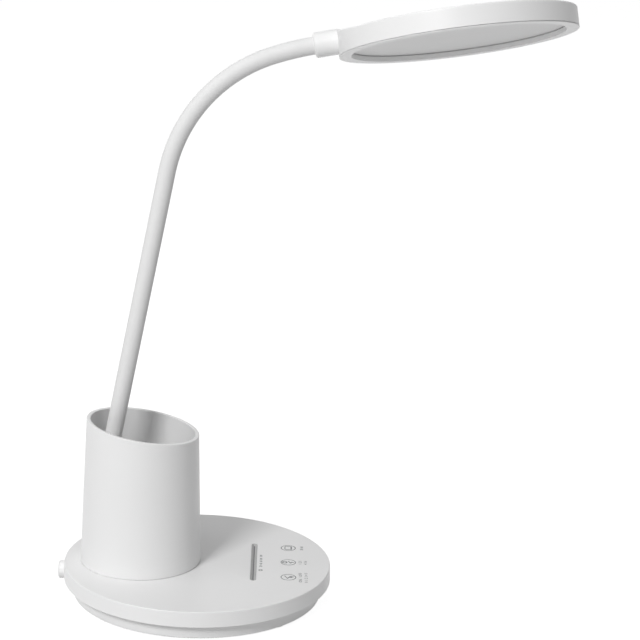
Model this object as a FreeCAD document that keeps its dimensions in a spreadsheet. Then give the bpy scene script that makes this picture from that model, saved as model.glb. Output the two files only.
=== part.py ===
import FreeCAD, Part
import Sketcher
import math
import os

from FreeCAD import Placement, Rotation, Vector

# A desk lamp: a round weighted base with a touch slider and three touch keys, a pen cup
# on the back of the base, a flexible neck that rises out of the cup and a flat round head.
#
# Millimetres. Z is up and X points the way the head reaches. The origin is the centre of
# the flat underside of the base; the rubber feet stand below it.

DOCUMENT = FreeCAD.newDocument("desk_lamp")
SHEET = DOCUMENT.addObject("Spreadsheet::Sheet", "sizes")

# The driving dimensions: alias, millimetres or degrees, what it is.
DRIVING_SIZES = [
    ("base_height", 21.8, "underside of the base to its top face"),
    ("base_radius", 95.0, "top cover at its top edge"),
    ("base_flare", 0.4, "how much wider the top cover is at its lower edge"),
    ("cover_side", 11.0, "height of the top cover's side"),
    ("cover_wall", 2.5, "wall of the top cover"),
    ("cover_round", 1.0, "rounding of the top cover's edge"),
    ("plinth_inset", 6.5, "lower cover's foot inside the base's edge"),
    ("plinth_flare", 1.7, "how much wider the lower cover is at its top"),
    ("plinth_lap", 2.2, "how far the lower cover's wall goes up inside the top cover"),
    ("plinth_wall", 2.2, "wall and floor of the lower cover"),
    ("plinth_round", 1.0, "rounding of the lower cover's bottom edge"),
    ("foot_stand", 1.75, "how far a rubber foot stands below the lower cover"),
    ("foot_inset", 0.8, "depth of the pocket that holds a foot"),
    ("foot_radius", 7.0, "rubber foot"),
    ("foot_edge", 16.0, "a foot's centre inside the base's edge"),
    ("weight_edge", 31.0, "counterweight inside the base's edge"),
    ("weight_cover", 12.6, "base's top face above the counterweight"),
    ("weight_eye", 9.0, "radius of the hole in the counterweight"),
    ("rib_thick", 2.0, "ring rib that locates the counterweight"),
    ("rib_tall", 3.0, "ring rib that locates the counterweight"),
    ("loose", 0.3, "clearance round a piece that is dropped in"),
    ("snug", 0.1, "clearance round a piece that is fitted"),
    ("screw_edge", 16.0, "a base screw inside the base's edge"),
    ("screw_radius", 1.5, "shank of a base screw and of a cup screw"),
    ("screw_head_radius", 2.9, "pan head of a base screw and of a cup screw"),
    ("screw_head_tall", 2.0, "pan head of a base screw and of a cup screw"),
    ("screw_bite", 7.5, "how far a base screw goes into the top cover's boss"),
    ("boss_radius", 3.8, "screw boss of the top cover"),
    ("sink_radius", 5.2, "screw boss of the lower cover"),
    ("sink_shelf", 2.7, "plastic between a base screw's head and the top cover's boss"),
    ("board_gap", 5.5, "control board below the top cover's inner face"),
    ("board_thick", 1.6, "control board"),
    ("board_edge", 21.0, "control board inside the base's front edge"),
    ("board_length", 41.0, "control board from back to front"),
    ("board_margin", 6.6, "control board beyond the outer keys"),
    ("stud_radius", 2.4, "boss that the control board hangs from"),
    ("stud_screw_radius", 1.1, "shank of a board screw"),
    ("stud_screw_head", 2.1, "radius of a board screw's head"),
    ("stud_screw_bite", 4.0, "how far a board screw goes into its boss"),
    ("key_edge", 30.0, "touch keys inside the base's front edge"),
    ("key_spacing", 28.4, "from one touch key to the next"),
    ("pad_radius", 4.0, "conductive foam pad under a touch key"),
    ("slider_edge", 54.4, "slider groove inside the base's front edge"),
    ("slider_length", 72.0, "slider, end to end"),
    ("slider_width", 5.0, "slider at the surface"),
    ("slider_depth", 1.5, "finger groove along the slider's light bar"),
    ("slider_set_back", 0.15, "light bar's top below the cover's"),
    ("slider_lip", 0.3, "flat edge of the light bar beside its groove"),
    ("slider_crease", 0.5, "flat along the bottom of the groove"),
    ("light_bar_lip", 1.0, "light bar's flange under the cover"),
    ("light_bar_tall", 4.2, "light bar's flange under the cover"),
    ("lamp_chip", 2.0, "lamp on the control board under the light bar"),
    ("chip_side", 7.0, "touch controller on the control board"),
    ("chip_tall", 1.1, "touch controller on the control board"),
    ("coil_side", 6.0, "driver's coil on the control board"),
    ("coil_tall", 2.8, "driver's coil on the control board"),
    ("socket_side", 8.0, "lead's socket under the control board"),
    ("socket_tall", 2.6, "lead's socket under the control board"),
    ("inlet_gap", 0.5, "clearance over the power inlet's flange"),
    ("inlet_flange", 0.6, "flange of the power inlet beyond its collar"),
    ("inlet_radius", 6.5, "collar of the power inlet"),
    ("inlet_proud", 4.5, "how far the inlet's collar stands out of the base"),
    ("inlet_length", 17.5, "collar of the power inlet"),
    ("socket_radius", 2.8, "bore of the power socket"),
    ("socket_deep", 11.0, "bore of the power socket"),
    ("pin_radius", 1.0, "centre pin of the power socket"),
    ("pin_back", 1.8, "how far the pin's tip lies inside the collar's mouth"),
    ("lead_radius", 1.2, "lead inside the base"),
    ("lead_berth", 5.0, "clearance between that lead and the neck's nut"),
    ("cup_edge", 11.2, "pen cup's foot inside the base's back edge"),
    ("cup_radius", 42.8, "pen cup at its foot"),
    ("cup_draft", 1.83, "degrees that the cup's side leans inwards"),
    ("cup_wall", 2.8, "pen cup"),
    ("cup_floor", 6.0, "pen cup"),
    ("cup_height", 99.6, "rim above the cup's foot, on the cup's axis"),
    ("rim_slant", 8.5, "degrees that the rim falls towards the front"),
    ("rim_round", 1.1, "rounding of the rim's edges"),
    ("cup_foot_groove", 0.5, "shadow groove round the cup's foot"),
    ("cup_screw_edge", 12.8, "a cup screw inside the cup's foot"),
    ("cup_screw_bite", 4.2, "how far a cup screw goes into the cup's floor"),
    ("neck_edge", 2.1, "clearance between the neck's collar and the cup's wall"),
    ("neck_radius", 6.0, "flexible neck over its silicone"),
    ("neck_bore", 2.3, "radius of the wire channel in the neck"),
    ("collar_wall", 3.0, "collar that holds the foot of the neck"),
    ("collar_flange", 2.0, "flange of that collar beyond its wall"),
    ("collar_flange_tall", 3.0, "flange of that collar"),
    ("collar_sole", 6.0, "bottom of the collar's bore above the cup's floor"),
    ("collar_tall", 22.0, "top of the collar above the cup's floor"),
    ("stem_radius", 5.0, "threaded stem of the collar"),
    ("stem_bore", 2.5, "wire hole in the collar's stem"),
    ("stem_end", 8.5, "stem below the top cover's inner face"),
    ("washer_radius", 10.0, "washer on the stem"),
    ("washer_thick", 1.5, "washer on the stem"),
    ("nut_across", 17.0, "nut on the stem, across its flats"),
    ("nut_tall", 6.0, "nut on the stem"),
    ("root_radius", 330.0, "bend that takes the neck from upright to its lean"),
    ("neck_lean", 10.3, "degrees that the long run of the neck leans forward"),
    ("run_length", 196.4, "long run of the neck"),
    ("crook_radius", 106.4, "main bend of the neck"),
    ("crook_turn", 60.3, "degrees of the main bend"),
    ("nod_radius", 212.0, "last bend of the neck"),
    ("nod_turn", 7.7, "degrees of the last bend"),
    ("neck_grip", 8.0, "how far the neck goes into the head's sleeve"),
    ("first_pivot", 40.0, "first pivot from the bottom of the collar's bore"),
    ("last_pivot", 22.0, "last pivot before the head's sleeve"),
    ("ball_step", 1.0, "step from a neck section's side to its domed end"),
    ("ball_play", 0.3, "clearance round a domed end"),
    ("joint_gap", 1.3, "neck section's shoulder from its pivot"),
    ("sleeve_wall", 2.6, "wall of the sleeve round the neck"),
    ("sleeve_length", 16.8, "sleeve between the neck and the head"),
    ("sleeve_taper", 1.2, "taper at the sleeve's neck end"),
    ("sleeve_shell", 1.6, "wall of the sleeve round the head's spigot"),
    ("sleeve_lap", 1.5, "how far the sleeve goes into the head's side"),
    ("ferrule_cover", 2.0, "neck's wall round the metal ferrule"),
    ("ferrule_bore", 2.6, "radius of the ferrule's bore"),
    ("ferrule_flange_thick", 2.0, "flange of the ferrule"),
    ("ferrule_in_neck", 6.0, "how far the ferrule goes into the neck"),
    ("ferrule_stem_radius", 2.5, "threaded stem of the ferrule"),
    ("ferrule_stem_bore", 1.4, "radius of the lead's way through the stem"),
    ("ferrule_nut_across", 7.0, "nut on the ferrule, across its flats"),
    ("ferrule_nut_tall", 2.4, "nut on the ferrule"),
    ("head_roll", 12.0, "degrees that the head is turned towards its near side"),
    ("head_droop", 2.7, "degrees from the sleeve's axis down to the disc's plane"),
    ("head_radius", 80.6, "lamp head"),
    ("head_thick", 14.2, "lamp head"),
    ("head_wall", 1.6, "side wall of the head's cover"),
    ("head_top_wall", 2.0, "top wall of the head's cover"),
    ("head_round", 1.2, "rounding of the head's top edge"),
    ("rim_width", 7.4, "flat rim of the head, with the cover's edge"),
    ("rim_set_back", 0.4, "bezel's flat rim above the cover's edge"),
    ("rim_bevel", 0.4, "bevel of the bezel's inner edge"),
    ("recess_depth", 5.5, "diffuser above the rim plane"),
    ("bezel_rise", 3.5, "bezel's inner wall above the diffuser's seat"),
    ("bezel_wall", 2.3, "bezel's wall round the light guide"),
    ("snap_count", 9, "snap tabs of the bezel"),
    ("snap_width", 6.0, "snap tab of the bezel"),
    ("snap_tall", 1.2, "snap tab of the bezel"),
    ("snap_proud", 0.45, "snap tab of the bezel"),
    ("shoulder_rise", 3.0, "swelling of the head's top where the neck comes in"),
    ("shoulder_radius", 275.0, "radius of that swelling"),
    ("nose_step", 0.5, "step from the sleeve down to the rounded nose behind it"),
    ("room_radius", 5.0, "hollow round the ferrule's nut"),
    ("room_length", 12.0, "hollow round the ferrule's nut"),
    ("diffuser_thick", 1.2, "opal diffuser"),
    ("guide_thick", 1.6, "light guide"),
    ("guide_edge", 5.8, "light guide inside the head's edge"),
    ("reflector_thick", 0.3, "reflector sheet"),
    ("strip_thick", 0.4, "flexible strip that carries the lamps"),
    ("strip_gap_angle", 9.0, "half the angle of the strip's gap at the neck"),
    ("chip_count", 30, "lamps on the strip"),
    ("chip_width", 3.0, "lamp on the strip"),
    ("chip_deep", 0.8, "lamp on the strip"),
    ("plug_side", 6.0, "connector in the head"),
    ("plug_gap", 0.6, "clearance between that connector and the reflector"),
]

NECK_SECTIONS = 9
OVERSHOOT = 1.0  # how far a cutting tool runs past the face that it cuts
NODES = {}


class Term:
    """A size that knows its value and how it is worked out from the sheet."""

    def __init__(self, value, text):
        self.value = value
        self.text = text

    def __add__(self, other):
        return combined(self, "+", other, self.value + number(other))

    def __sub__(self, other):
        return combined(self, "-", other, self.value - number(other))

    def __mul__(self, other):
        return combined(self, "*", other, self.value * number(other))

    def __truediv__(self, other):
        return combined(self, "/", other, self.value / number(other))

    def __radd__(self, other):
        return combined(other, "+", self, number(other) + self.value)

    def __rsub__(self, other):
        return combined(other, "-", self, number(other) - self.value)

    def __rmul__(self, other):
        return combined(other, "*", self, number(other) * self.value)

    def __rtruediv__(self, other):
        return combined(other, "/", self, number(other) / self.value)

    def __neg__(self):
        return 0 - self


def number(term):
    """The plain value of a term or of a number."""
    return term.value if isinstance(term, Term) else float(term)


def text_of(term):
    """The expression of a term or of a number."""
    return term.text if isinstance(term, Term) else repr(float(term))


def combined(left, sign, right, value):
    return Term(value, "(" + text_of(left) + " " + sign + " " + text_of(right) + ")")


def sine(degrees):
    return Term(math.sin(math.radians(number(degrees))), "sin(" + text_of(degrees) + ")")


def cosine(degrees):
    return Term(math.cos(math.radians(number(degrees))), "cos(" + text_of(degrees) + ")")


def tangent(degrees):
    return Term(math.tan(math.radians(number(degrees))), "tan(" + text_of(degrees) + ")")


class Sizes:
    """The driving dimensions as terms, one attribute for each alias."""

    def __init__(self, rows):
        for row, (alias, value, note) in enumerate(rows, start=1):
            SHEET.set("A%d" % row, note)
            SHEET.set("B%d" % row, str(value))
            SHEET.setAlias("B%d" % row, alias)
        DOCUMENT.recompute()
        for alias, _, _ in rows:
            setattr(self, alias, Term(float(SHEET.get(alias)), "sizes." + alias))


S = Sizes(DRIVING_SIZES)


# ------------------------------------------------------------------- building blocks


def bind(item, prop, term):
    """Give a property its value, and tie it to the sheet where it comes from there."""
    if isinstance(term, Term):
        item.setExpression(prop, term.text)
    else:
        setattr(item, prop, term)


def place(item, x=0.0, y=0.0, z=0.0, rotation=None):
    """Put an object where it belongs, tied to the sheet where its place comes from there."""
    item.Placement = Placement(Vector(number(x), number(y), number(z)), rotation or Rotation())
    for axis, term in (("x", x), ("y", y), ("z", z)):
        if isinstance(term, Term):
            item.setExpression("Placement.Base." + axis, term.text)
    return item


def cylinder(name, radius, height, x=0.0, y=0.0, z=0.0, rotation=None):
    item = DOCUMENT.addObject("Part::Cylinder", name)
    bind(item, "Radius", radius)
    bind(item, "Height", height)
    return place(item, x, y, z, rotation)


def cone(name, lower, upper, height, x=0.0, y=0.0, z=0.0, rotation=None):
    item = DOCUMENT.addObject("Part::Cone", name)
    bind(item, "Radius1", lower)
    bind(item, "Radius2", upper)
    bind(item, "Height", height)
    return place(item, x, y, z, rotation)


def ball(name, radius, x=0.0, y=0.0, z=0.0):
    item = DOCUMENT.addObject("Part::Sphere", name)
    bind(item, "Radius", radius)
    return place(item, x, y, z)


def block(name, length, width, height, x=0.0, y=0.0, z=0.0):
    """A box centred on x and y, standing on z."""
    item = DOCUMENT.addObject("Part::Box", name)
    bind(item, "Length", length)
    bind(item, "Width", width)
    bind(item, "Height", height)
    return place(item, x - length / 2, y - width / 2, z)


def fused(name, parts):
    item = DOCUMENT.addObject("Part::MultiFuse", name)
    item.Shapes = parts
    return item


def grouped(name, parts):
    """Separate solids that share one node."""
    item = DOCUMENT.addObject("Part::Compound", name)
    item.Links = parts
    return item


def shared(name, parts):
    """What several solids have in common."""
    item = DOCUMENT.addObject("Part::MultiCommon", name)
    item.Shapes = parts
    return item


def cut(name, base, tools):
    item = DOCUMENT.addObject("Part::Cut", name)
    item.Base = base
    item.Tool = tools[0] if len(tools) == 1 else fused(name + "_tools", tools)
    return item


def origin_plane(body, role):
    return [part for part in body.Origin.OriginFeatures if part.Role == role][0]


def profile_sketch(body, name, corners):
    """A closed outline in the body's XZ plane, every corner tied to the sheet."""
    sketch = body.newObject("Sketcher::SketchObject", name)
    sketch.AttachmentSupport = (origin_plane(body, "XZ_Plane"), "")
    sketch.MapMode = "FlatFace"
    points = [Vector(number(across), number(up), 0) for across, up in corners]
    count = len(points)
    for index in range(count):
        sketch.addGeometry(Part.LineSegment(points[index], points[(index + 1) % count]), False)
    for index in range(count):
        following = (index + 1) % count
        sketch.addConstraint(Sketcher.Constraint("Coincident", index, 2, following, 1))
    for index, (across, up) in enumerate(corners):
        for kind, term, axis in (("DistanceX", across, -2), ("DistanceY", up, -1)):
            if not isinstance(term, Term) and term == 0:
                sketch.addConstraint(Sketcher.Constraint("PointOnObject", index, 1, axis))
                continue
            row = sketch.addConstraint(
                Sketcher.Constraint(kind, -1, 1, index, 1, number(term))
            )
            if isinstance(term, Term):
                sketch.setExpression("Constraints[%d]" % row, term.text)
    return sketch


def turned(name, corners):
    """A PartDesign body turned round its Z axis from an outline of radii and heights."""
    body = DOCUMENT.addObject("PartDesign::Body", name)
    sketch = profile_sketch(body, name + "_outline", corners)
    turn = body.newObject("PartDesign::Revolution", name + "_turn")
    turn.Profile = sketch
    turn.ReferenceAxis = (sketch, ["V_Axis"])
    turn.Angle = 360.0
    sketch.Visibility = False
    DOCUMENT.recompute()
    return body


def circle_edges(shape, radius, height):
    """Names of a shape's round edges of one radius at one height."""
    names = []
    for index, edge in enumerate(shape.Edges, start=1):
        curve = edge.Curve
        if not isinstance(curve, Part.Circle):
            continue
        if abs(curve.Radius - radius) < 0.01 and abs(curve.Center.z - height) < 0.01:
            names.append("Edge%d" % index)
    return names


def round_edges(body, name, edges, radius):
    """Round some edges of a body's last feature."""
    rounding = body.newObject("PartDesign::Fillet", name)
    rounding.Base = (body.Tip if body.Tip != rounding else body.Group[-2], edges)
    bind(rounding, "Radius", radius)
    body.Tip = rounding
    DOCUMENT.recompute()
    return rounding


def around(count, start=0.0):
    """Evenly spaced angles in degrees."""
    return [start + 360.0 * index / count for index in range(count)]


def on_circle(radius, degrees, x=0.0):
    """A point on a circle as two terms."""
    return (
        x + radius * math.cos(math.radians(degrees)),
        radius * math.sin(math.radians(degrees)),
    )


def node(label, item, placement=None):
    """Make an object a sub-part of the lamp, under its own name."""
    item.Label = label
    if placement is not None:
        item.Placement = placement
    NODES[label] = item
    return item


# ----------------------------------------------------------------------------- levels

COVER_INSIDE = S.base_height - S.cover_wall  # inner face of the top cover
SKIRT = S.base_height - S.cover_side  # lower edge of the top cover
PLINTH_TOP = SKIRT + S.plinth_lap
WEIGHT_TOP = S.base_height - S.weight_cover
SINK_TOP = WEIGHT_TOP
SINK_FLOOR = SINK_TOP - S.sink_shelf
BOARD_TOP = COVER_INSIDE - S.board_gap
BOARD_UNDER = BOARD_TOP - S.board_thick
INLET_FLANGE_RADIUS = S.inlet_radius + S.inlet_flange
INLET_HEIGHT = COVER_INSIDE - S.inlet_gap - INLET_FLANGE_RADIUS
CUP_FLOOR = S.base_height + S.cup_floor
COLLAR_SOLE = CUP_FLOOR + S.collar_sole

# Places in plan, from the base's axis. The cup and the neck lie behind it.
PLINTH_RADIUS = S.base_radius - S.plinth_inset
FOOT_CIRCLE = S.base_radius - S.foot_edge
SCREW_CIRCLE = S.base_radius - S.screw_edge
WEIGHT_RADIUS = S.base_radius - S.weight_edge
BOARD_FRONT = S.base_radius - S.board_edge
BOARD_BACK = BOARD_FRONT - S.board_length
BOARD_HALF_WIDTH = S.key_spacing + S.board_margin
KEY_COLUMN = S.base_radius - S.key_edge
SLIDER_COLUMN = S.base_radius - S.slider_edge
CUP_OFFSET = S.base_radius - S.cup_edge - S.cup_radius
COLLAR_RADIUS = S.neck_radius + S.collar_wall
COLLAR_FLANGE_RADIUS = COLLAR_RADIUS + S.collar_flange
NECK_OFFSET = CUP_OFFSET + S.cup_radius - S.cup_wall - COLLAR_FLANGE_RADIUS - S.neck_edge
CUP_SCREW_CIRCLE = S.cup_radius - S.cup_screw_edge

FOOT_ANGLES = around(4, start=45.0)
SCREW_ANGLES = around(3)
CUP_SCREW_ANGLES = (60.0, 120.0, 240.0, 300.0)
INNER_STUD = SLIDER_COLUMN + S.stud_radius * 5
OUTER_STUD = KEY_COLUMN + S.stud_radius * 2.3
STUDS = (
    (INNER_STUD, S.key_spacing + S.stud_radius * 0.6),
    (INNER_STUD, -S.key_spacing - S.stud_radius * 0.6),
    (OUTER_STUD, S.key_spacing / 2),
    (OUTER_STUD, -S.key_spacing / 2),
)
KEYS = (S.key_spacing, S.key_spacing * 0, -S.key_spacing)
ALONG_X = Rotation(Vector(0, 1, 0), 90)

# Radii of what lies along the neck and the sleeve.
BALL_RADIUS = S.neck_radius - S.ball_step
FERRULE_RADIUS = S.neck_radius - S.ferrule_cover
SLEEVE_RADIUS = S.neck_radius + S.sleeve_wall
SPIGOT_RADIUS = SLEEVE_RADIUS - S.sleeve_shell
NUT_CORNER = S.ferrule_nut_across / 2 / cosine(30.0)

# Levels in the head above its rim plane, and the head's place on the sleeve's axis.
CEILING = S.head_thick - S.head_top_wall
BEZEL_TOP = S.recess_depth + S.bezel_rise
BEZEL_OUTER = S.head_radius - S.head_wall - S.snug * 2
GUIDE_LEVEL = S.recess_depth + S.diffuser_thick
GUIDE_RADIUS = S.head_radius - S.guide_edge
REFLECTOR_LEVEL = GUIDE_LEVEL + S.guide_thick
PLUG_TALL = CEILING - REFLECTOR_LEVEL - S.reflector_thick - S.plug_gap
HEAD_LEAD_RADIUS = PLUG_TALL * 0.42
HEAD_REACH = S.sleeve_length - S.sleeve_lap + S.head_radius
HEAD_DROP = GUIDE_LEVEL + NUT_CORNER + S.loose + S.head_radius * sine(S.head_droop)

# Distances along the sleeve's axis from its neck end.
FLANGE_START = S.neck_grip + S.snug
SPIGOT_START = FLANGE_START + S.ferrule_flange_thick + S.snug
SPIGOT_END = S.sleeve_length + S.head_wall
STEM_END = SPIGOT_END + S.ferrule_nut_tall + S.loose
FERRULE_FLANGE = SPIGOT_RADIUS - S.snug


# ------------------------------------------------------------------------------- base


def base_top_cover():
    """The round moulded cover, with the way for the light bar and the screw bosses."""
    low_radius = S.base_radius + S.base_flare
    body = turned(
        "top_cover_shell",
        [
            (0, COVER_INSIDE),
            (S.base_radius - S.cover_wall, COVER_INSIDE),
            (low_radius - S.cover_wall, SKIRT),
            (low_radius, SKIRT),
            (S.base_radius, S.base_height),
            (0, S.base_height),
        ],
    )
    top_edge = circle_edges(body.Shape, S.base_radius.value, S.base_height.value)
    round_edges(body, "top_cover_round", top_edge, S.cover_round)
    bosses = []
    holes = []
    for index, angle in enumerate(SCREW_ANGLES):
        x, y = on_circle(SCREW_CIRCLE, angle)
        seat = SINK_TOP + S.snug
        bosses.append(
            cylinder("cover_boss_%d" % index, S.boss_radius, COVER_INSIDE - seat, x, y, seat)
        )
        holes.append(
            cylinder(
                "cover_pilot_%d" % index,
                S.screw_radius + S.snug / 2,
                S.screw_bite + OVERSHOOT + S.loose,
                x,
                y,
                seat - OVERSHOOT,
            )
        )
    for index, (x, y) in enumerate(STUDS):
        bosses.append(cylinder("stud_%d" % index, S.stud_radius, S.board_gap, x, y, BOARD_TOP))
        holes.append(
            cylinder(
                "stud_pilot_%d" % index,
                S.stud_screw_radius + S.snug / 2,
                S.stud_screw_bite + OVERSHOOT + S.loose,
                x,
                y,
                BOARD_TOP - OVERSHOOT,
            )
        )
    for index, angle in enumerate(CUP_SCREW_ANGLES):
        x, y = on_circle(CUP_SCREW_CIRCLE, angle, -CUP_OFFSET)
        holes.append(
            cylinder(
                "cup_screw_way_%d" % index,
                S.screw_radius + S.snug,
                S.cover_wall + 2 * OVERSHOOT,
                x,
                y,
                COVER_INSIDE - OVERSHOOT,
            )
        )
    holes.append(
        cylinder(
            "stem_way",
            S.stem_radius + S.snug,
            S.cover_wall + 2 * OVERSHOOT,
            -NECK_OFFSET,
            0.0,
            COVER_INSIDE - OVERSHOOT,
        )
    )
    holes.append(inlet_way("cover_inlet_way"))
    holes.append(slot("light_bar_way", S.slider_width, S.cover_wall + 2 * OVERSHOOT,
                      COVER_INSIDE - OVERSHOOT))
    return node("base_top_cover", cut("cover", fused("cover_body", [body] + bosses), holes))


def slot(name, width, tall, level):
    """A block with round ends along the slider."""
    straight = S.slider_length - S.slider_width
    middle = block(name + "_middle", width, straight, tall, SLIDER_COLUMN, 0.0, level)
    ends = [
        cylinder("%s_end_%d" % (name, index), width / 2, tall, SLIDER_COLUMN, y, level)
        for index, y in enumerate((straight / 2, -straight / 2))
    ]
    return fused(name, [middle] + ends)


def slider_groove():
    """The finger groove: two slopes down to a narrow flat, with round ends."""
    straight = S.slider_length - S.slider_width
    half_crease = S.slider_crease / 2
    half_groove = S.slider_width / 2 - S.snug - S.slider_lip
    tall = S.slider_depth + OVERSHOOT
    half_top = half_crease + (half_groove - half_crease) / S.slider_depth * tall
    bottom = S.base_height - S.slider_set_back - S.slider_depth
    trough = DOCUMENT.addObject("Part::Wedge", "slider_trough")
    trough.Ymin = 0
    bind(trough, "Xmin", -half_crease)
    bind(trough, "Xmax", half_crease)
    bind(trough, "X2min", -half_top)
    bind(trough, "X2max", half_top)
    bind(trough, "Ymax", tall)
    for low, high in (("Zmin", "Zmax"), ("Z2min", "Z2max")):
        bind(trough, low, -straight / 2)
        bind(trough, high, straight / 2)
    place(trough, SLIDER_COLUMN, 0.0, bottom, Rotation(Vector(1, 0, 0), 90))
    ends = [
        cone("slider_end_%d" % index, half_crease, half_top, tall, SLIDER_COLUMN, y, bottom)
        for index, y in enumerate((straight / 2, -straight / 2))
    ]
    return [trough] + ends


def inlet_way(name):
    """The round way through the covers' walls for the power inlet's collar."""
    length = S.inlet_length + 2 * OVERSHOOT
    return cylinder(
        name,
        S.inlet_radius + S.snug,
        length,
        -S.base_radius - S.inlet_proud - OVERSHOOT,
        0.0,
        INLET_HEIGHT,
        ALONG_X,
    )


def base_lower_cover():
    """The inset plinth with its floor, screw sinks, foot pockets and locating rib."""
    top_radius = PLINTH_RADIUS + S.plinth_flare
    rib_inner = WEIGHT_RADIUS + S.loose
    rib_outer = rib_inner + S.rib_thick
    floor_inner = PLINTH_RADIUS - S.plinth_wall
    body = turned(
        "plinth_shell",
        [
            (0, 0),
            (PLINTH_RADIUS, 0),
            (top_radius, PLINTH_TOP),
            (top_radius - S.plinth_wall, PLINTH_TOP),
            (floor_inner, S.plinth_wall),
            (rib_outer, S.plinth_wall),
            (rib_outer, S.plinth_wall + S.rib_tall),
            (rib_inner, S.plinth_wall + S.rib_tall),
            (rib_inner, S.plinth_wall),
            (0, S.plinth_wall),
        ],
    )
    bottom_edge = circle_edges(body.Shape, PLINTH_RADIUS.value, 0.0)
    round_edges(body, "plinth_bottom_round", bottom_edge, S.plinth_round)
    bosses = []
    holes = [inlet_way("plinth_inlet_way")]
    for index, angle in enumerate(SCREW_ANGLES):
        x, y = on_circle(SCREW_CIRCLE, angle)
        bosses.append(
            cylinder("sink_%d" % index, S.sink_radius, SINK_TOP - S.plinth_wall / 2, x, y,
                     S.plinth_wall / 2)
        )
        holes.append(
            cylinder("sink_way_%d" % index, S.screw_radius + S.snug, SINK_TOP + 2 * OVERSHOOT,
                     x, y, -OVERSHOOT)
        )
        holes.append(
            cylinder("sink_bore_%d" % index, S.screw_head_radius + S.loose,
                     SINK_FLOOR + OVERSHOOT, x, y, -OVERSHOOT)
        )
    for index, angle in enumerate(FOOT_ANGLES):
        x, y = on_circle(FOOT_CIRCLE, angle)
        holes.append(
            cylinder("foot_pocket_%d" % index, S.foot_radius + S.snug,
                     S.foot_inset + OVERSHOOT, x, y, -OVERSHOOT)
        )
    return node("base_lower_cover", cut("plinth", fused("plinth_body", [body] + bosses), holes))


def rubber_feet():
    feet = []
    for index, angle in enumerate(FOOT_ANGLES):
        x, y = on_circle(FOOT_CIRCLE, angle)
        feet.append(
            cylinder("foot_%d" % index, S.foot_radius, S.foot_stand + S.foot_inset, x, y,
                     -S.foot_stand)
        )
    return node("rubber_feet", grouped("feet", feet))


def counterweight():
    body = turned(
        "weight",
        [
            (S.weight_eye, S.plinth_wall),
            (WEIGHT_RADIUS, S.plinth_wall),
            (WEIGHT_RADIUS, WEIGHT_TOP),
            (S.weight_eye, WEIGHT_TOP),
        ],
    )
    return node("counterweight", body)


def pan_screw(name, shank_radius, head_radius, head_tall, length, x, y, head_top):
    """A pan head screw that points up, with its head's upper face at head_top."""
    head = cylinder(name + "_head", head_radius, head_tall, x, y, head_top - head_tall)
    shank = cylinder(name + "_shank", shank_radius, length + head_tall / 2, x, y,
                     head_top - head_tall / 2)
    drive = cylinder(name + "_drive", shank_radius * 0.6, head_tall / 2, x, y,
                     head_top - head_tall)
    return cut(name, fused(name + "_blank", [head, shank]), [drive])


def base_screws():
    screws = []
    length = SINK_TOP + S.snug - SINK_FLOOR + S.screw_bite
    for index, angle in enumerate(SCREW_ANGLES):
        x, y = on_circle(SCREW_CIRCLE, angle)
        screws.append(
            pan_screw("base_screw_%d" % index, S.screw_radius, S.screw_head_radius,
                      S.screw_head_tall, length, x, y, SINK_FLOOR)
        )
    return node("base_screws", grouped("base_screw_set", screws))


def control_board():
    """The circuit board that hangs under the touch area."""
    length = BOARD_FRONT - BOARD_BACK
    middle = (BOARD_FRONT + BOARD_BACK) / 2
    plate = block("board_plate", length, BOARD_HALF_WIDTH * 2, S.board_thick, middle, 0.0,
                  BOARD_UNDER)
    ways = [
        cylinder("board_way_%d" % index, S.stud_screw_radius + S.snug,
                 S.board_thick + 2 * OVERSHOOT, x, y, BOARD_UNDER - OVERSHOOT)
        for index, (x, y) in enumerate(STUDS)
    ]
    return node("control_board", cut("board", plate, ways))


def board_screws():
    screws = [
        pan_screw("board_screw_%d" % index, S.stud_screw_radius, S.stud_screw_head,
                  S.board_thick * 0.8, S.board_thick + S.stud_screw_bite, x, y, BOARD_UNDER)
        for index, (x, y) in enumerate(STUDS)
    ]
    return node("board_screws", grouped("board_screw_set", screws))


LEAD_SOCKET_X = BOARD_BACK + S.socket_side * 0.6
LEAD_SOCKET_Y = BOARD_HALF_WIDTH - S.socket_side * 1.5


def board_chips():
    """The touch controller, the driver's coil, the lamps of the slider and the lead's socket."""
    chips = [
        block("controller_chip", S.chip_side, S.chip_side, S.chip_tall, INNER_STUD,
              S.chip_side * 1.1, BOARD_TOP),
        block("driver_coil", S.coil_side, S.coil_side, S.coil_tall, INNER_STUD,
              -S.coil_side * 1.5, BOARD_TOP),
        block("lead_socket", S.socket_side, S.socket_side, S.socket_tall, LEAD_SOCKET_X,
              -LEAD_SOCKET_Y, BOARD_UNDER - S.socket_tall),
    ]
    lamps = 5
    pitch = (S.slider_length - S.slider_width * 2) / (lamps - 1)
    for index in range(lamps):
        chips.append(
            block("slider_lamp_%d" % index, S.lamp_chip, S.lamp_chip * 1.4,
                  S.board_gap - S.light_bar_tall - S.loose, SLIDER_COLUMN,
                  pitch * (index - (lamps - 1) / 2), BOARD_TOP)
        )
    return node("board_chips", grouped("board_chip_set", chips))


def touch_pads():
    pads = [
        cylinder("touch_pad_%d" % index, S.pad_radius, S.board_gap, KEY_COLUMN, y, BOARD_TOP)
        for index, y in enumerate(KEYS)
    ]
    return node("touch_pads", grouped("touch_pad_set", pads))


def slider_light_bar():
    """The tinted bar in the cover's slot, with the finger groove along its top."""
    flange = slot("light_bar_flange", S.slider_width + S.light_bar_lip * 2, S.light_bar_tall,
                  COVER_INSIDE - S.light_bar_tall)
    insert = slot("light_bar_insert", S.slider_width - S.snug * 2,
                  S.cover_wall - S.slider_set_back + S.snug, COVER_INSIDE - S.snug)
    bar = fused("light_bar_blank", [flange, insert])
    return node("slider_light_bar", cut("light_bar", bar, slider_groove()))


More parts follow.
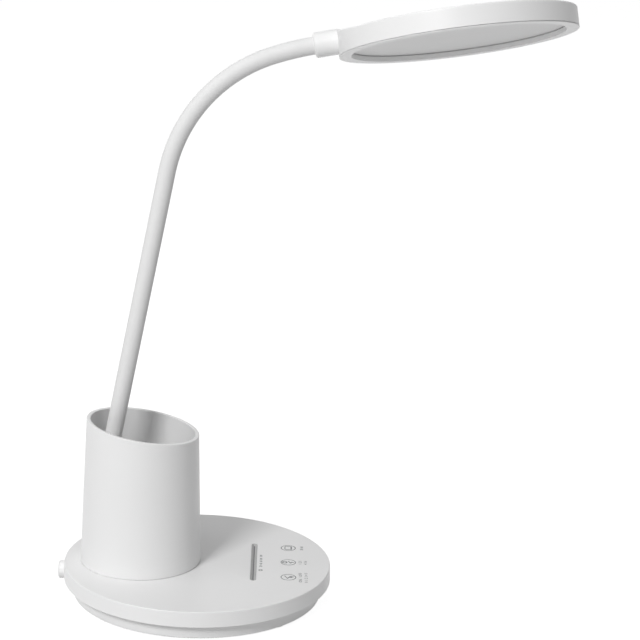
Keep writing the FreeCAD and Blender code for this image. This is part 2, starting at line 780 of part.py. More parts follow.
def power_inlet():
    """The collar with its socket, and the socket's centre pin."""
    mouth = -S.base_radius - S.inlet_proud
    flange_start = S.inlet_length - 4.5
    body = turned(
        "inlet_collar",
        [
            (S.socket_radius, 0),
            (S.inlet_radius - 0.8, 0),
            (S.inlet_radius, 0.8),
            (S.inlet_radius, flange_start),
            (INLET_FLANGE_RADIUS, flange_start),
            (INLET_FLANGE_RADIUS, flange_start + 2.0),
            (S.inlet_radius - 1.0, flange_start + 2.0),
            (S.inlet_radius - 1.0, S.inlet_length),
            (S.pin_radius + S.snug / 2, S.inlet_length),
            (S.pin_radius + S.snug / 2, S.socket_deep),
            (S.socket_radius, S.socket_deep),
        ],
    )
    place(body, mouth, 0.0, INLET_HEIGHT, ALONG_X)
    node("power_inlet", body)
    pin = turned(
        "inlet_centre_pin",
        [
            (0, S.pin_back),
            (S.pin_radius * 0.5, S.pin_back),
            (S.pin_radius, S.pin_back + 0.5),
            (S.pin_radius, S.inlet_length),
            (0, S.inlet_length),
        ],
    )
    place(pin, mouth, 0.0, INLET_HEIGHT, ALONG_X)
    node("inlet_pin", pin)


def lead(name, points, radius):
    """A round lead along straight runs joined by tangent arcs."""
    edges = []
    start = points[0]
    for before, corner, after in zip(points, points[1:], points[2:]):
        into = corner - before
        out = after - corner
        turn = into.getAngle(out)
        bend = 0.45 * min(into.Length, out.Length) / math.tan(turn / 2)
        back = bend * math.tan(turn / 2)
        into.normalize()
        out.normalize()
        first = corner - into * back
        last = corner + out * back
        towards = out - into
        towards.normalize()
        centre = corner + towards * (bend / math.cos(turn / 2))
        middle = centre - towards * bend
        edges.append(Part.LineSegment(start, first).toShape())
        edges.append(Part.Arc(first, middle, last).toShape())
        start = last
    edges.append(Part.LineSegment(start, points[-1]).toShape())
    heading = points[1] - points[0]
    heading.normalize()
    circle = Part.Wire(Part.Circle(points[0], heading, radius).toShape())
    tube = Part.Wire(edges).makePipeShell([circle], True, True)
    item = DOCUMENT.addObject("Part::Feature", name)
    item.Shape = tube
    return item


def base_lead():
    """The lead from the power inlet to the control board, past the neck's nut."""
    start = (-S.base_radius - S.inlet_proud + S.inlet_length + S.snug).value
    level = (WEIGHT_TOP + S.lead_radius + S.loose).value
    side = (S.inlet_radius * 0.55).value
    beside_nut = (S.nut_across / 2 + S.lead_radius + S.lead_berth).value
    neck = NECK_OFFSET.value
    socket_y = -LEAD_SOCKET_Y.value
    end = (LEAD_SOCKET_X - S.socket_side / 2 - S.snug).value
    points = [
        Vector(start, -side, level),
        Vector(start * 0.975, -side, level),
        Vector(start * 0.92, -beside_nut, level),
        Vector(-neck, -beside_nut * 1.02, level),
        Vector(-neck / 2, -beside_nut * 1.1, level),
        Vector(0.0, (socket_y - beside_nut) / 2, level),
        Vector(end / 2, socket_y, level),
        Vector(end, socket_y * 1.001, level),
    ]
    return node("base_lead", lead("inner_lead", points, S.lead_radius.value))


# ------------------------------------------------------------------------ cup and neck


def pen_cup():
    """The pen cup: a slightly tapered shell whose rim falls towards the front."""
    lean = tangent(S.cup_draft)
    blank_tall = S.cup_height + S.cup_radius * 0.6
    inner_foot = S.cup_radius - S.cup_wall
    body = turned(
        "cup_blank",
        [
            (0, 0),
            (S.cup_radius - S.cup_foot_groove, 0),
            (S.cup_radius - S.cup_foot_groove, S.cup_foot_groove),
            (S.cup_radius - S.cup_foot_groove * lean, S.cup_foot_groove),
            (S.cup_radius - blank_tall * lean, blank_tall),
            (inner_foot - blank_tall * lean, blank_tall),
            (inner_foot - S.cup_floor * lean, S.cup_floor),
            (0, S.cup_floor),
        ],
    )
    half = S.cup_radius * 1.2
    fall = half * tangent(S.rim_slant)
    sketch = profile_sketch(
        body,
        "rim_line",
        [
            (-half, S.cup_height + fall),
            (half, S.cup_height - fall),
            (half, blank_tall * 1.1),
            (-half, blank_tall * 1.1),
        ],
    )
    slant = body.newObject("PartDesign::Pocket", "rim_cut")
    slant.Profile = sketch
    slant.Midplane = True
    slant.Type = "Length"
    bind(slant, "Length", S.cup_radius * 3)
    sketch.Visibility = False
    DOCUMENT.recompute()
    edges = [
        "Edge%d" % index
        for index, edge in enumerate(body.Shape.Edges, start=1)
        if isinstance(edge.Curve, Part.Ellipse)
    ]
    round_edges(body, "rim_rounding", edges, S.rim_round)
    holes = []
    for index, angle in enumerate(CUP_SCREW_ANGLES):
        x, y = on_circle(CUP_SCREW_CIRCLE, angle)
        holes.append(
            cylinder("cup_pilot_%d" % index, S.screw_radius + S.snug / 2,
                     S.cup_screw_bite + OVERSHOOT + S.loose, x, y, -OVERSHOOT)
        )
    holes.append(
        cylinder("cup_stem_way", S.stem_radius + S.snug, S.cup_floor + 2 * OVERSHOOT,
                 CUP_OFFSET - NECK_OFFSET, 0.0, -OVERSHOOT)
    )
    shell = cut("cup", body, holes)
    place(shell, -CUP_OFFSET, 0.0, S.base_height)
    return node("pen_cup", shell)


def cup_screws():
    screws = []
    for index, angle in enumerate(CUP_SCREW_ANGLES):
        x, y = on_circle(CUP_SCREW_CIRCLE, angle, -CUP_OFFSET)
        screws.append(
            pan_screw("cup_screw_%d" % index, S.screw_radius, S.screw_head_radius,
                      S.screw_head_tall, S.cover_wall + S.cup_screw_bite, x, y, COVER_INSIDE)
        )
    return node("cup_screws", grouped("cup_screw_set", screws))


def neck_collar():
    """The collar on the cup's floor, with the threaded stem that holds neck and cup down."""
    stem_bottom = COVER_INSIDE - S.stem_end
    top = CUP_FLOOR + S.collar_tall
    flange_top = CUP_FLOOR + S.collar_flange_tall
    bore = S.neck_radius + S.snug
    body = turned(
        "collar",
        [
            (S.stem_bore, stem_bottom),
            (S.stem_radius, stem_bottom),
            (S.stem_radius, CUP_FLOOR),
            (COLLAR_FLANGE_RADIUS, CUP_FLOOR),
            (COLLAR_FLANGE_RADIUS, flange_top - 0.8),
            (COLLAR_FLANGE_RADIUS - 0.8, flange_top),
            (COLLAR_RADIUS, flange_top),
            (COLLAR_RADIUS, top - 1.2),
            (COLLAR_RADIUS - 1.2, top),
            (bore, top),
            (bore, COLLAR_SOLE),
            (S.stem_bore, COLLAR_SOLE),
        ],
    )
    place(body, -NECK_OFFSET)
    return node("neck_collar", body)


def neck_fixings():
    """The washer and the hexagon nut on the collar's stem."""
    washer_under = COVER_INSIDE - S.washer_thick
    washer = turned(
        "washer",
        [
            (S.stem_radius + S.snug, washer_under),
            (S.washer_radius, washer_under),
            (S.washer_radius, COVER_INSIDE),
            (S.stem_radius + S.snug, COVER_INSIDE),
        ],
    )
    place(washer, -NECK_OFFSET)
    node("neck_washer", washer)
    hexagon = DOCUMENT.addObject("Part::Prism", "nut_blank")
    hexagon.Polygon = 6
    bind(hexagon, "Circumradius", S.nut_across / 2 / cosine(30.0))
    bind(hexagon, "Height", S.nut_tall)
    place(hexagon, -NECK_OFFSET, 0.0, washer_under - S.nut_tall)
    thread = cylinder("nut_thread", S.stem_radius + S.snug / 2, S.nut_tall + 2 * OVERSHOOT,
                      -NECK_OFFSET, 0.0, washer_under - S.nut_tall - OVERSHOOT)
    node("neck_nut", cut("nut", hexagon, [thread]))


class NeckLine:
    """The neck's centre line in the XZ plane: straight runs and arcs, joined tangent."""

    def __init__(self):
        lean = math.radians(S.neck_lean.value)
        crook = math.radians(S.crook_turn.value)
        nod = math.radians(S.nod_turn.value)
        upright = S.collar_tall.value - S.collar_sole.value
        self.runs = [
            (upright, 0.0),
            (S.root_radius.value * lean, lean),
            (S.run_length.value, 0.0),
            (S.crook_radius.value * crook, crook),
            (S.nod_radius.value * nod, nod),
            (S.neck_grip.value, 0.0),
        ]
        self.starts = []
        x, z, heading, travelled = -NECK_OFFSET.value, COLLAR_SOLE.value, 0.0, 0.0
        for length, turn in self.runs:
            self.starts.append((travelled, x, z, heading))
            x, z = self.step(x, z, heading, length, turn, length)
            heading += turn
            travelled += length
        self.length = travelled

    @staticmethod
    def step(x, z, heading, length, turn, along):
        """The point some way along a run; headings are from upright, towards +X."""
        if turn == 0.0:
            return x + along * math.sin(heading), z + along * math.cos(heading)
        radius = length / turn
        swept = turn * along / length
        return (
            x + radius * (math.cos(heading) - math.cos(heading + swept)),
            z + radius * (math.sin(heading + swept) - math.sin(heading)),
        )

    def at(self, distance):
        """The point and the heading at a distance from the foot of the neck."""
        for (travelled, x, z, heading), (length, turn) in reversed(
            list(zip(self.starts, self.runs))
        ):
            if distance >= travelled - 1e-9:
                along = distance - travelled
                px, pz = self.step(x, z, heading, length, turn, along)
                return Vector(px, 0, pz), heading + turn * along / length
        raise ValueError("before the foot of the neck")

    def direction(self, distance):
        heading = self.at(distance)[1]
        return Vector(math.sin(heading), 0, math.cos(heading))

    def tube(self, start, end, radius):
        """A round solid along the line from one distance to another."""
        lengths = []
        for (travelled, _, _, _), (length, turn) in zip(self.starts, self.runs):
            low = max(start, travelled)
            high = min(end, travelled + length)
            if high - low < 1e-6:
                continue
            first = self.at(low)[0]
            heading = self.direction(low)
            if turn == 0.0:
                lengths.append(Part.makeCylinder(radius, high - low, first, heading))
                continue
            face = Part.Face(Part.Wire(Part.Circle(first, heading, radius).toShape()))
            centre = first + heading.cross(Vector(0, -1, 0)) * (length / turn)
            swept = math.degrees(turn * (high - low) / length)
            lengths.append(face.revolve(centre, Vector(0, 1, 0), swept))
        solid = lengths[0]
        return solid.fuse(lengths[1:]).removeSplitter() if len(lengths) > 1 else solid

    def pivots(self):
        """Distances of the pivots from the foot of the neck, evenly spread."""
        first = S.first_pivot.value
        last = self.length - S.neck_grip.value - S.last_pivot.value
        gaps = NECK_SECTIONS - 2
        return [first + (last - first) * index / gaps for index in range(gaps + 1)]


LINE = NeckLine()


def neck_sections():
    """The flexible neck as short lengths: a domed end seats in a hollow end at each pivot."""
    pivots = LINE.pivots()
    gap = S.joint_gap.value
    for index in range(NECK_SECTIONS):
        first = index == 0
        last = index == NECK_SECTIONS - 1
        start = 0.0 if first else pivots[index - 1] + gap
        end = LINE.length if last else pivots[index] - gap
        shape = LINE.tube(start, end, S.neck_radius.value)
        bore_start = 0.0 if first else pivots[index - 1]
        bore_end = LINE.length if last else pivots[index] + BALL_RADIUS.value + OVERSHOOT
        if not last:
            shape = shape.fuse(Part.makeSphere(BALL_RADIUS.value, LINE.at(pivots[index])[0]))
        if not first:
            hollow = BALL_RADIUS.value + S.ball_play.value
            shape = shape.cut(Part.makeSphere(hollow, LINE.at(pivots[index - 1])[0]))
        shape = shape.cut(LINE.tube(bore_start, bore_end, S.neck_bore.value))
        if last:
            seat = S.ferrule_in_neck.value + S.snug.value
            shape = shape.cut(
                LINE.tube(LINE.length - seat, LINE.length, FERRULE_RADIUS.value + S.snug.value)
            )
        item = DOCUMENT.addObject("Part::Feature", "neck_length_%d" % (index + 1))
        item.Shape = shape.removeSplitter()
        node("neck_section_%d" % (index + 1), item)


# ------------------------------------------------------------------------------- head


def sleeve_frame():
    """X along the sleeve's axis from its neck end, rolled with the head."""
    start = LINE.at(LINE.length - S.neck_grip.value)[0]
    tilt = 90.0 - S.neck_lean.value - S.crook_turn.value - S.nod_turn.value
    return Placement(start, Rotation(Vector(0, 1, 0), -tilt)).multiply(
        Placement(Vector(), Rotation(Vector(1, 0, 0), -S.head_roll.value))
    )


DISC_IN_SLEEVE = Placement(
    Vector(HEAD_REACH.value, 0, -HEAD_DROP.value),
    Rotation(Vector(0, 1, 0), S.head_droop.value),
)
SLEEVE = sleeve_frame()
DISC = SLEEVE.multiply(DISC_IN_SLEEVE)
SLEEVE_IN_DISC = DISC_IN_SLEEVE.inverse()
TURNED_TO_X = Placement(Vector(), ALONG_X)


def along_sleeve(name, kind, start, *sizes):
    """A cylinder or cone in the disc's frame, along the sleeve's axis from a distance."""
    item = kind(name, *sizes)
    item.Placement = SLEEVE_IN_DISC.multiply(Placement(Vector(number(start), 0, 0), ALONG_X))
    return item


def head_sleeve():
    """The sleeve over the end of the neck and the head's spigot."""
    flange_bore = SPIGOT_RADIUS + S.snug
    body = turned(
        "sleeve",
        [
            (S.neck_radius + S.snug, 0),
            (S.neck_radius + S.snug * 4, 0),
            (SLEEVE_RADIUS - 0.5, S.sleeve_taper * 0.8),
            (SLEEVE_RADIUS, S.sleeve_taper * 1.2),
            (SLEEVE_RADIUS, S.sleeve_length - 0.3),
            (SLEEVE_RADIUS - 0.3, S.sleeve_length),
            (flange_bore, S.sleeve_length),
            (flange_bore, S.neck_grip + S.snug),
            (S.neck_radius + S.snug, S.neck_grip + S.snug),
        ],
    )
    return node("head_sleeve", body, SLEEVE.multiply(TURNED_TO_X))


def neck_ferrule():
    """The metal end of the neck, and the nut that clamps its stem inside the head."""
    start = S.neck_grip - S.ferrule_in_neck
    flange_end = FLANGE_START + S.ferrule_flange_thick
    body = turned(
        "ferrule",
        [
            (S.ferrule_bore, start),
            (FERRULE_RADIUS, start),
            (FERRULE_RADIUS, FLANGE_START),
            (FERRULE_FLANGE, FLANGE_START),
            (FERRULE_FLANGE, flange_end),
            (S.ferrule_stem_radius, flange_end),
            (S.ferrule_stem_radius, STEM_END),
            (S.ferrule_stem_bore, STEM_END),
            (S.ferrule_stem_bore, FLANGE_START),
            (S.ferrule_bore, FLANGE_START),
        ],
    )
    node("neck_ferrule", body, SLEEVE.multiply(TURNED_TO_X))
    hexagon = DOCUMENT.addObject("Part::Prism", "ferrule_nut_blank")
    hexagon.Polygon = 6
    bind(hexagon, "Circumradius", NUT_CORNER)
    bind(hexagon, "Height", S.ferrule_nut_tall)
    place(hexagon, 0.0, 0.0, SPIGOT_END)
    thread = cylinder("ferrule_nut_thread", S.ferrule_stem_radius + S.snug / 2,
                      S.ferrule_nut_tall + 2 * OVERSHOOT, 0.0, 0.0, SPIGOT_END - OVERSHOOT)
    nut = cut("ferrule_clamp", hexagon, [thread])
    node("ferrule_nut", nut, SLEEVE.multiply(TURNED_TO_X))


def head_top_cover():
    """The head's upper shell, with the swelling on its top that takes the neck."""
    inner = S.head_radius - S.head_wall
    groove_low = S.recess_depth - S.snap_tall - 0.6
    groove_high = S.recess_depth - 0.4
    groove_radius = inner + S.snap_proud + S.snug
    body = turned(
        "head_shell",
        [
            (0, CEILING),
            (inner, CEILING),
            (inner, groove_high),
            (groove_radius, groove_high),
            (groove_radius, groove_low),
            (inner, groove_low),
            (inner, 0),
            (S.head_radius, 0),
            (S.head_radius, S.head_thick),
            (0, S.head_thick),
        ],
    )
    top_edge = circle_edges(body.Shape, S.head_radius.value, S.head_thick.value)
    round_edges(body, "head_shell_round", top_edge, S.head_round)
    dome = ball("shoulder_dome", S.shoulder_radius, -S.head_radius, 0.0,
                S.head_thick + S.shoulder_rise - S.shoulder_radius)
    drum = cylinder("shoulder_drum", S.head_radius, S.head_round + S.shoulder_rise, 0.0, 0.0,
                    S.head_thick - S.head_round)
    shoulder = shared("shoulder", [dome, drum])
    nose = along_sleeve("nose_ball", ball, S.sleeve_length, SLEEVE_RADIUS - S.nose_step)
    over = cylinder("over_ceiling", S.head_radius, S.sleeve_length, 0.0, 0.0, CEILING)
    nose = shared("nose", [nose, over])
    seat = along_sleeve("sleeve_seat", cylinder, 0.0, SLEEVE_RADIUS + S.snug, S.sleeve_length)
    shell = cut("shell_with_seat", fused("shell_with_shoulder", [body, shoulder, nose]), [seat])
    spigot = along_sleeve("spigot", cylinder, SPIGOT_START, SPIGOT_RADIUS,
                          SPIGOT_END - SPIGOT_START)
    bore = along_sleeve("stem_way_in", cylinder, 0.0, S.ferrule_stem_radius + S.snug,
                        SPIGOT_END + OVERSHOOT)
    room = along_sleeve("lead_room", cylinder, SPIGOT_END, S.room_radius, S.room_length)
    cover = cut("head_cover", fused("cover_with_spigot", [shell, spigot]), [bore, room])
    return node("head_top_cover", cover, DISC)


def head_bezel():
    """The rim ring: the flat rim, the recess wall, the diffuser's seat and the snap tabs."""
    outer = BEZEL_OUTER
    inner = S.head_radius - S.rim_width
    wall_inner = outer - S.bezel_wall
    body = turned(
        "bezel_ring",
        [
            (inner, S.rim_set_back + S.rim_bevel),
            (inner + S.rim_bevel, S.rim_set_back),
            (outer, S.rim_set_back),
            (outer, BEZEL_TOP),
            (wall_inner, BEZEL_TOP),
            (wall_inner, S.recess_depth),
            (inner, S.recess_depth),
        ],
    )
    sketch = profile_sketch(
        body,
        "snap_outline",
        [
            (outer - 0.3, S.recess_depth - S.snap_tall - 0.5),
            (outer + S.snap_proud, S.recess_depth - S.snap_tall),
            (outer + S.snap_proud, S.recess_depth - 0.5),
            (outer - 0.3, S.recess_depth - 0.5),
        ],
    )
    tab = body.newObject("PartDesign::Pad", "snap_tab")
    tab.Profile = sketch
    tab.Midplane = True
    bind(tab, "Length", S.snap_width)
    sketch.Visibility = False
    DOCUMENT.recompute()
    ring = body.newObject("PartDesign::PolarPattern", "snap_tabs")
    ring.Originals = [tab]
    ring.Axis = (body.Origin.OriginFeatures[2], [""])
    ring.Angle = 360.0
    bind(ring, "Occurrences", S.snap_count)
    body.Tip = ring
    DOCUMENT.recompute()
    spigot_notch = along_sleeve("bezel_spigot_notch", cylinder, SPIGOT_START,
                                SPIGOT_RADIUS + S.loose, SPIGOT_END + S.loose - SPIGOT_START)
    nut_room = NUT_CORNER + S.loose
    nut_notch = along_sleeve("bezel_nut_notch", cylinder, SPIGOT_END, nut_room,
                             STEM_END + S.loose - SPIGOT_END)
    return node("head_bezel", cut("bezel", body, [spigot_notch, nut_notch]), DISC)


def disc_plate(label, radius, bottom, thick):
    """A plain round plate in the head."""
    body = turned(label + "_plate", [(0, bottom), (radius, bottom), (radius, bottom + thick),
                                     (0, bottom + thick)])
    return node(label, body, DISC)


STRIP_RADIUS = GUIDE_RADIUS + S.chip_deep + S.snug * 3


def head_optics():
    """The diffuser, the light guide and the reflector, one on the other."""
    disc_plate("diffuser", BEZEL_OUTER - S.bezel_wall - S.snug, S.recess_depth, S.diffuser_thick)
    disc_plate("light_guide", GUIDE_RADIUS, GUIDE_LEVEL, S.guide_thick)
    disc_plate("reflector_sheet", GUIDE_RADIUS, REFLECTOR_LEVEL,
               S.reflector_thick)


def led_strip():
    """The strip of lamps round the light guide's edge, open where the boss comes in."""
    tall = S.guide_thick + S.reflector_thick
    body = turned(
        "strip_band",
        [
            (STRIP_RADIUS, GUIDE_LEVEL),
            (STRIP_RADIUS + S.strip_thick, GUIDE_LEVEL),
            (STRIP_RADIUS + S.strip_thick, GUIDE_LEVEL + tall),
            (STRIP_RADIUS, GUIDE_LEVEL + tall),
        ],
    )
    gap_half = GUIDE_RADIUS * sine(S.strip_gap_angle)
    gap = block("strip_gap", S.head_radius / 2, gap_half * 2, tall + 2 * OVERSHOOT,
                -GUIDE_RADIUS, 0.0, GUIDE_LEVEL - OVERSHOOT)
    node("led_strip", cut("strip", body, [gap]), DISC)
    chips = []
    free = 360.0 - 4 * S.strip_gap_angle.value
    count = int(S.chip_count.value)
    start = 180.0 + 2 * S.strip_gap_angle.value
    for index in range(count):
        chip = Part.makeBox(S.chip_deep.value, S.chip_width.value, S.guide_thick.value)
        chip.translate(
            Vector(GUIDE_RADIUS.value + S.snug.value, -S.chip_width.value / 2,
                   GUIDE_LEVEL.value)
        )
        chip.rotate(Vector(), Vector(0, 0, 1), start + free * index / (count - 1))
        chips.append(chip)
    item = DOCUMENT.addObject("Part::Feature", "strip_chips")
    item.Shape = Part.makeCompound(chips)
    node("led_chips", item, DISC)


def head_plug():
    """The connector under the head's ceiling, and the lead that runs to it."""
    centre_x = -S.head_radius * 0.62
    centre_y = S.head_radius * 0.2
    length = S.plug_side * 1.3
    bottom = CEILING - PLUG_TALL
    plug = DOCUMENT.addObject("Part::Box", "plug")
    bind(plug, "Length", length)
    bind(plug, "Width", S.plug_side)
    bind(plug, "Height", PLUG_TALL)
    corner = Vector((centre_x - length / 2).value, (centre_y - S.plug_side / 2).value,
                    bottom.value)
    node("head_plug", plug, DISC.multiply(Placement(corner, Rotation())))
    level = (CEILING - PLUG_TALL / 2).value
    mouth = SLEEVE_IN_DISC.multVec(Vector((STEM_END + S.loose).value, 0, 0))
    end = (centre_x - length / 2 - S.snug).value
    run = end - mouth.x
    points = [
        mouth,
        Vector(mouth.x + run * 0.2, 0.0, mouth.z),
        Vector(mouth.x + run * 0.4, centre_y.value * 0.1, level),
        Vector(mouth.x + run * 0.75, centre_y.value, level),
        Vector(end, centre_y.value, level),
    ]
    node("head_lead", lead("head_inner_lead", points, HEAD_LEAD_RADIUS.value), DISC)


# ------------------------------------------------------------------ checks and export


def check_document():
    """Stop if any object failed, or any sub-part has no valid solid."""
    for item in DOCUMENT.Objects:
        bad = [word for word in item.State if word in ("Invalid", "Error")]
        if bad:
            raise RuntimeError("%s is %s" % (item.Label, bad))
    for label, item in NODES.items():
        shape = item.Shape
        if shape.isNull() or not shape.isValid() or not shape.Solids:
            raise RuntimeError("%s has no valid solid" % label)


def write_parts():
    os.makedirs("parts", exist_ok=True)
    for label, item in NODES.items():
        item.Shape.exportStep(os.path.join("parts", label + ".step"))
        print("%-18s %2d solids %10.1f mm3" % (label, len(item.Shape.Solids), item.Shape.Volume))


def main():
    base_top_cover()
    base_lower_cover()
    rubber_feet()
    counterweight()
    base_screws()
    control_board()
    board_screws()
    board_chips()
    touch_pads()
    slider_light_bar()
    power_inlet()
    base_lead()
    pen_cup()
    cup_screws()
    neck_collar()
    neck_fixings()
    neck_sections()
    head_sleeve()
    neck_ferrule()
    head_top_cover()
    head_bezel()
    head_optics()
    led_strip()
    head_plug()
    DOCUMENT.recompute()
    check_document()
    write_parts()


main()
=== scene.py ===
"""Studio scene of a desk lamp with a pen cup on a round base.

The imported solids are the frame. This script puts finer meshes in place of the large
turned forms and of the flexible neck, prints the marks round the touch keys, gives every
surface its material, and sets the floor, the lamps and the camera. Sizes in the classes
are millimetres and degrees; meshes are in metres.
"""

import logging
from contextlib import contextmanager
from dataclasses import dataclass
from enum import Enum
from math import atan2, cos, degrees, hypot, pi, radians, sin, sqrt, tan, tau
from typing import Iterator, Sequence

import bmesh
import bpy
from mathutils import Matrix, Vector


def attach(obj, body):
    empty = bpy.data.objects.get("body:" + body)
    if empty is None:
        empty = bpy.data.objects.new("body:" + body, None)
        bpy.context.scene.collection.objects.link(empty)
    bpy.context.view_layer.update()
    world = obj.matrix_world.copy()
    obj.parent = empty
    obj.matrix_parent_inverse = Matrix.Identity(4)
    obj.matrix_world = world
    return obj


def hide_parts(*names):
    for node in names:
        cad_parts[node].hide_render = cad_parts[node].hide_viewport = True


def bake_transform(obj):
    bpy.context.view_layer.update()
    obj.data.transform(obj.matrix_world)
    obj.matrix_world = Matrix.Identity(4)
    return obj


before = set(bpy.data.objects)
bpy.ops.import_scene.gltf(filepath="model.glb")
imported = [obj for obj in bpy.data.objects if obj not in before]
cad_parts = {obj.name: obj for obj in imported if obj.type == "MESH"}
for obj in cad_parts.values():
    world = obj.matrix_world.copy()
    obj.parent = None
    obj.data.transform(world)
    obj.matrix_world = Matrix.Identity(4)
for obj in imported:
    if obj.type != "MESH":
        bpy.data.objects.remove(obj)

LOG = logging.getLogger("desk_lamp")
MM = 0.001
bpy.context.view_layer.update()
SHARP = 35.0  # edges that turn by more degrees stay sharp
SLIVER_MM = 0.004  # thinner leftovers of a cut are merged away
MERGE_MM = 1e-4  # points nearer than this are one
SUPPORT_MM = 0.3  # how far a support point lies from a rounding, at the most
TURN_Y = Matrix.Rotation(pi / 2, 4, "Y")
# Segments of a full turn, for forms from large to small.
LARGE, SHEET, TUBE, SEAT, BORE, SCREW = 256, 192, 128, 96, 64, 48

Object = bpy.types.Object
Material = bpy.types.Material
Tree = bpy.types.NodeTree
Socket = bpy.types.NodeSocket
Mesh = bmesh.types.BMesh
Point = tuple[float, float]
Stroke = tuple[Point, Point, float]


class Body(Enum):
    """The rigid bodies of the lamp that this script dresses."""

    BASE = "base"
    HEAD = "head"


class Slot(Enum):
    """The record's material slots, named beside the finishes of new pieces."""

    ABS = "white_abs"
    SILICONE = "white_silicone"
    RUBBER = "black_rubber"
    CLEAR = "clear_plastic"
    INK = "grey_foam"
    OPAL = "opal_plastic"


class Work(Enum):
    """What a tool does to a solid."""

    JOIN = "UNION"
    CUT = "DIFFERENCE"


# Nodes and colours


def linear(code: str) -> tuple[float, ...]:
    """Turn an sRGB colour into linear RGBA.

    Args:
        code: The colour as six hex digits with a leading #.

    Returns:
        Linear red, green and blue, and an alpha of one.
    """
    shares = [int(code[start:start + 2], 16) / 255 for start in (1, 3, 5)]
    return (*(s / 12.92 if s <= 0.04045 else ((s + 0.055) / 1.055) ** 2.4 for s in shares), 1.0)


def add(tree: Tree, kind: str, settings: dict | None = None,
        links: dict | None = None) -> bpy.types.Node:
    """Add one node to a tree, with its settings and its incoming links.

    Args:
        tree: The tree that gets the node.
        kind: The node's type name.
        settings: Values by input; a name that starts with a dot is the node's own.
        links: Output sockets by the input that they feed.

    Returns:
        The new node.
    """
    node = tree.nodes.new(kind)
    for key, value in (settings or {}).items():
        if str(key).startswith("."):
            setattr(node, key[1:], value)
        else:
            node.inputs[key].default_value = value
    for key, socket in (links or {}).items():
        tree.links.new(socket, node.inputs[key])
    return node


def out(tree: Tree, kind: str, output: str | int, settings: dict | None = None,
        links: dict | None = None) -> Socket:
    """Add one node like add, and give one of its outputs."""
    return add(tree, kind, settings, links).outputs[output]


class Recipe:
    """A material in the making, with the steps that the finishes share."""

    def __init__(self, name: str) -> None:
        """Start an empty node material that reads the object's own coordinates."""
        self.material = bpy.data.materials.new(name)
        self.material.use_nodes = True
        self.tree = self.material.node_tree
        self.tree.nodes.clear()
        self.place = out(self.tree, "ShaderNodeTexCoord", "Object")

    def noise(self, size: float, detail: float = 2.0, roughness: float = 0.5,
              place: Socket | None = None) -> Socket:
        """Add noise.

        Args:
            size: Size of its features in millimetres.
            detail: How many finer layers it has.
            roughness: How strong these are.
            place: The coordinates, if not the object's own.

        Returns:
            Its value.
        """
        return out(self.tree, "ShaderNodeTexNoise", "Fac",
                   {"Scale": 1.0 / (size * MM), "Detail": detail, "Roughness": roughness},
                   {"Vector": self.place if place is None else place})

    def tint(self, first: str, second: str, share: Socket) -> Socket:
        """Mix two sRGB colours."""
        ends = {".data_type": "RGBA", "A": linear(first), "B": linear(second)}
        return out(self.tree, "ShaderNodeMix", "Result", ends, {"Factor": share})

    def spread(self, value: Socket, low: float, high: float, start: float = 0.0,
               end: float = 1.0) -> Socket:
        """Bring a value from between start and end to between low and high."""
        ends = {"From Min": start, "From Max": end, "To Min": low, "To Max": high}
        return out(self.tree, "ShaderNodeMapRange", "Result", ends, {"Value": value})

    def bump(self, height: Socket, strength: float, depth: float) -> Socket:
        """Make a relief of a depth in millimetres."""
        ends = {"Strength": strength, "Distance": depth * MM}
        return out(self.tree, "ShaderNodeBump", "Normal", ends, {"Height": height})

    def surface(self, settings: dict, links: dict) -> Material:
        """End with the shader, and give the material."""
        shader = out(self.tree, "ShaderNodeBsdfPrincipled", "BSDF", settings, links)
        add(self.tree, "ShaderNodeOutputMaterial", None, {"Surface": shader})
        return self.material


# Finishes


@dataclass(frozen=True)
class MouldedPlastic:
    """A thermoplastic from a spark-eroded mould: fine even grain, slightly uneven gloss."""

    name: str
    colour: str
    flow_colour: str  # where the melt flowed and cooled more slowly
    roughness: float
    gloss_spread: float = 0.05
    grain_mm: float = 0.35  # the real grain is about 0.1 mm; coarser so that it shows
    grain_depth_mm: float = 0.004
    grain_strength: float = 0.35
    flow_mm: float = 45.0
    handling_mm: float = 9.0
    ior: float = 1.53
    coat: float = 0.0
    coat_roughness: float = 0.2

    def build(self) -> Material:
        """Make the material."""
        work = Recipe(self.name)
        flow = work.noise(self.flow_mm, 3.0)
        handling = work.noise(self.handling_mm, 5.0)
        grain = work.noise(self.grain_mm)
        return work.surface(
            {"IOR": self.ior, "Coat Weight": self.coat, "Coat Roughness": self.coat_roughness},
            {"Base Color": work.tint(self.colour, self.flow_colour, flow),
             "Roughness": work.spread(handling, self.roughness - self.gloss_spread,
                                      self.roughness + self.gloss_spread),
             "Normal": work.bump(grain, self.grain_strength, self.grain_depth_mm)})


@dataclass(frozen=True)
class SiliconeSleeve:
    """Silicone rubber drawn over the gooseneck: dull, a little soft, with faint draw lines."""

    name: str
    colour: str
    dust_colour: str
    gloss: Point = (0.57, 0.70)
    line_mm: float = 0.5  # draw lines round the tube; real ones are finer
    line_depth_mm: float = 0.003
    line_strength: float = 0.2
    line_stretch: float = 0.08
    dust_mm: float = 6.0
    ior: float = 1.41
    sheen: float = 0.08

    def build(self) -> Material:
        """Make the material."""
        work = Recipe(self.name)
        dust = work.noise(self.dust_mm, 6.0, 0.65)
        along = out(work.tree, "ShaderNodeMapping", "Vector",
                    {".vector_type": "POINT", "Scale": (1, 1, self.line_stretch)},
                    {"Vector": work.place})
        lines = work.noise(self.line_mm, 1.0, place=along)
        return work.surface(
            {"IOR": self.ior, "Sheen Weight": self.sheen, "Sheen Roughness": 0.5},
            {"Base Color": work.tint(self.colour, self.dust_colour, dust),
             "Roughness": work.spread(dust, *self.gloss),
             "Normal": work.bump(lines, self.line_strength, self.line_depth_mm)})


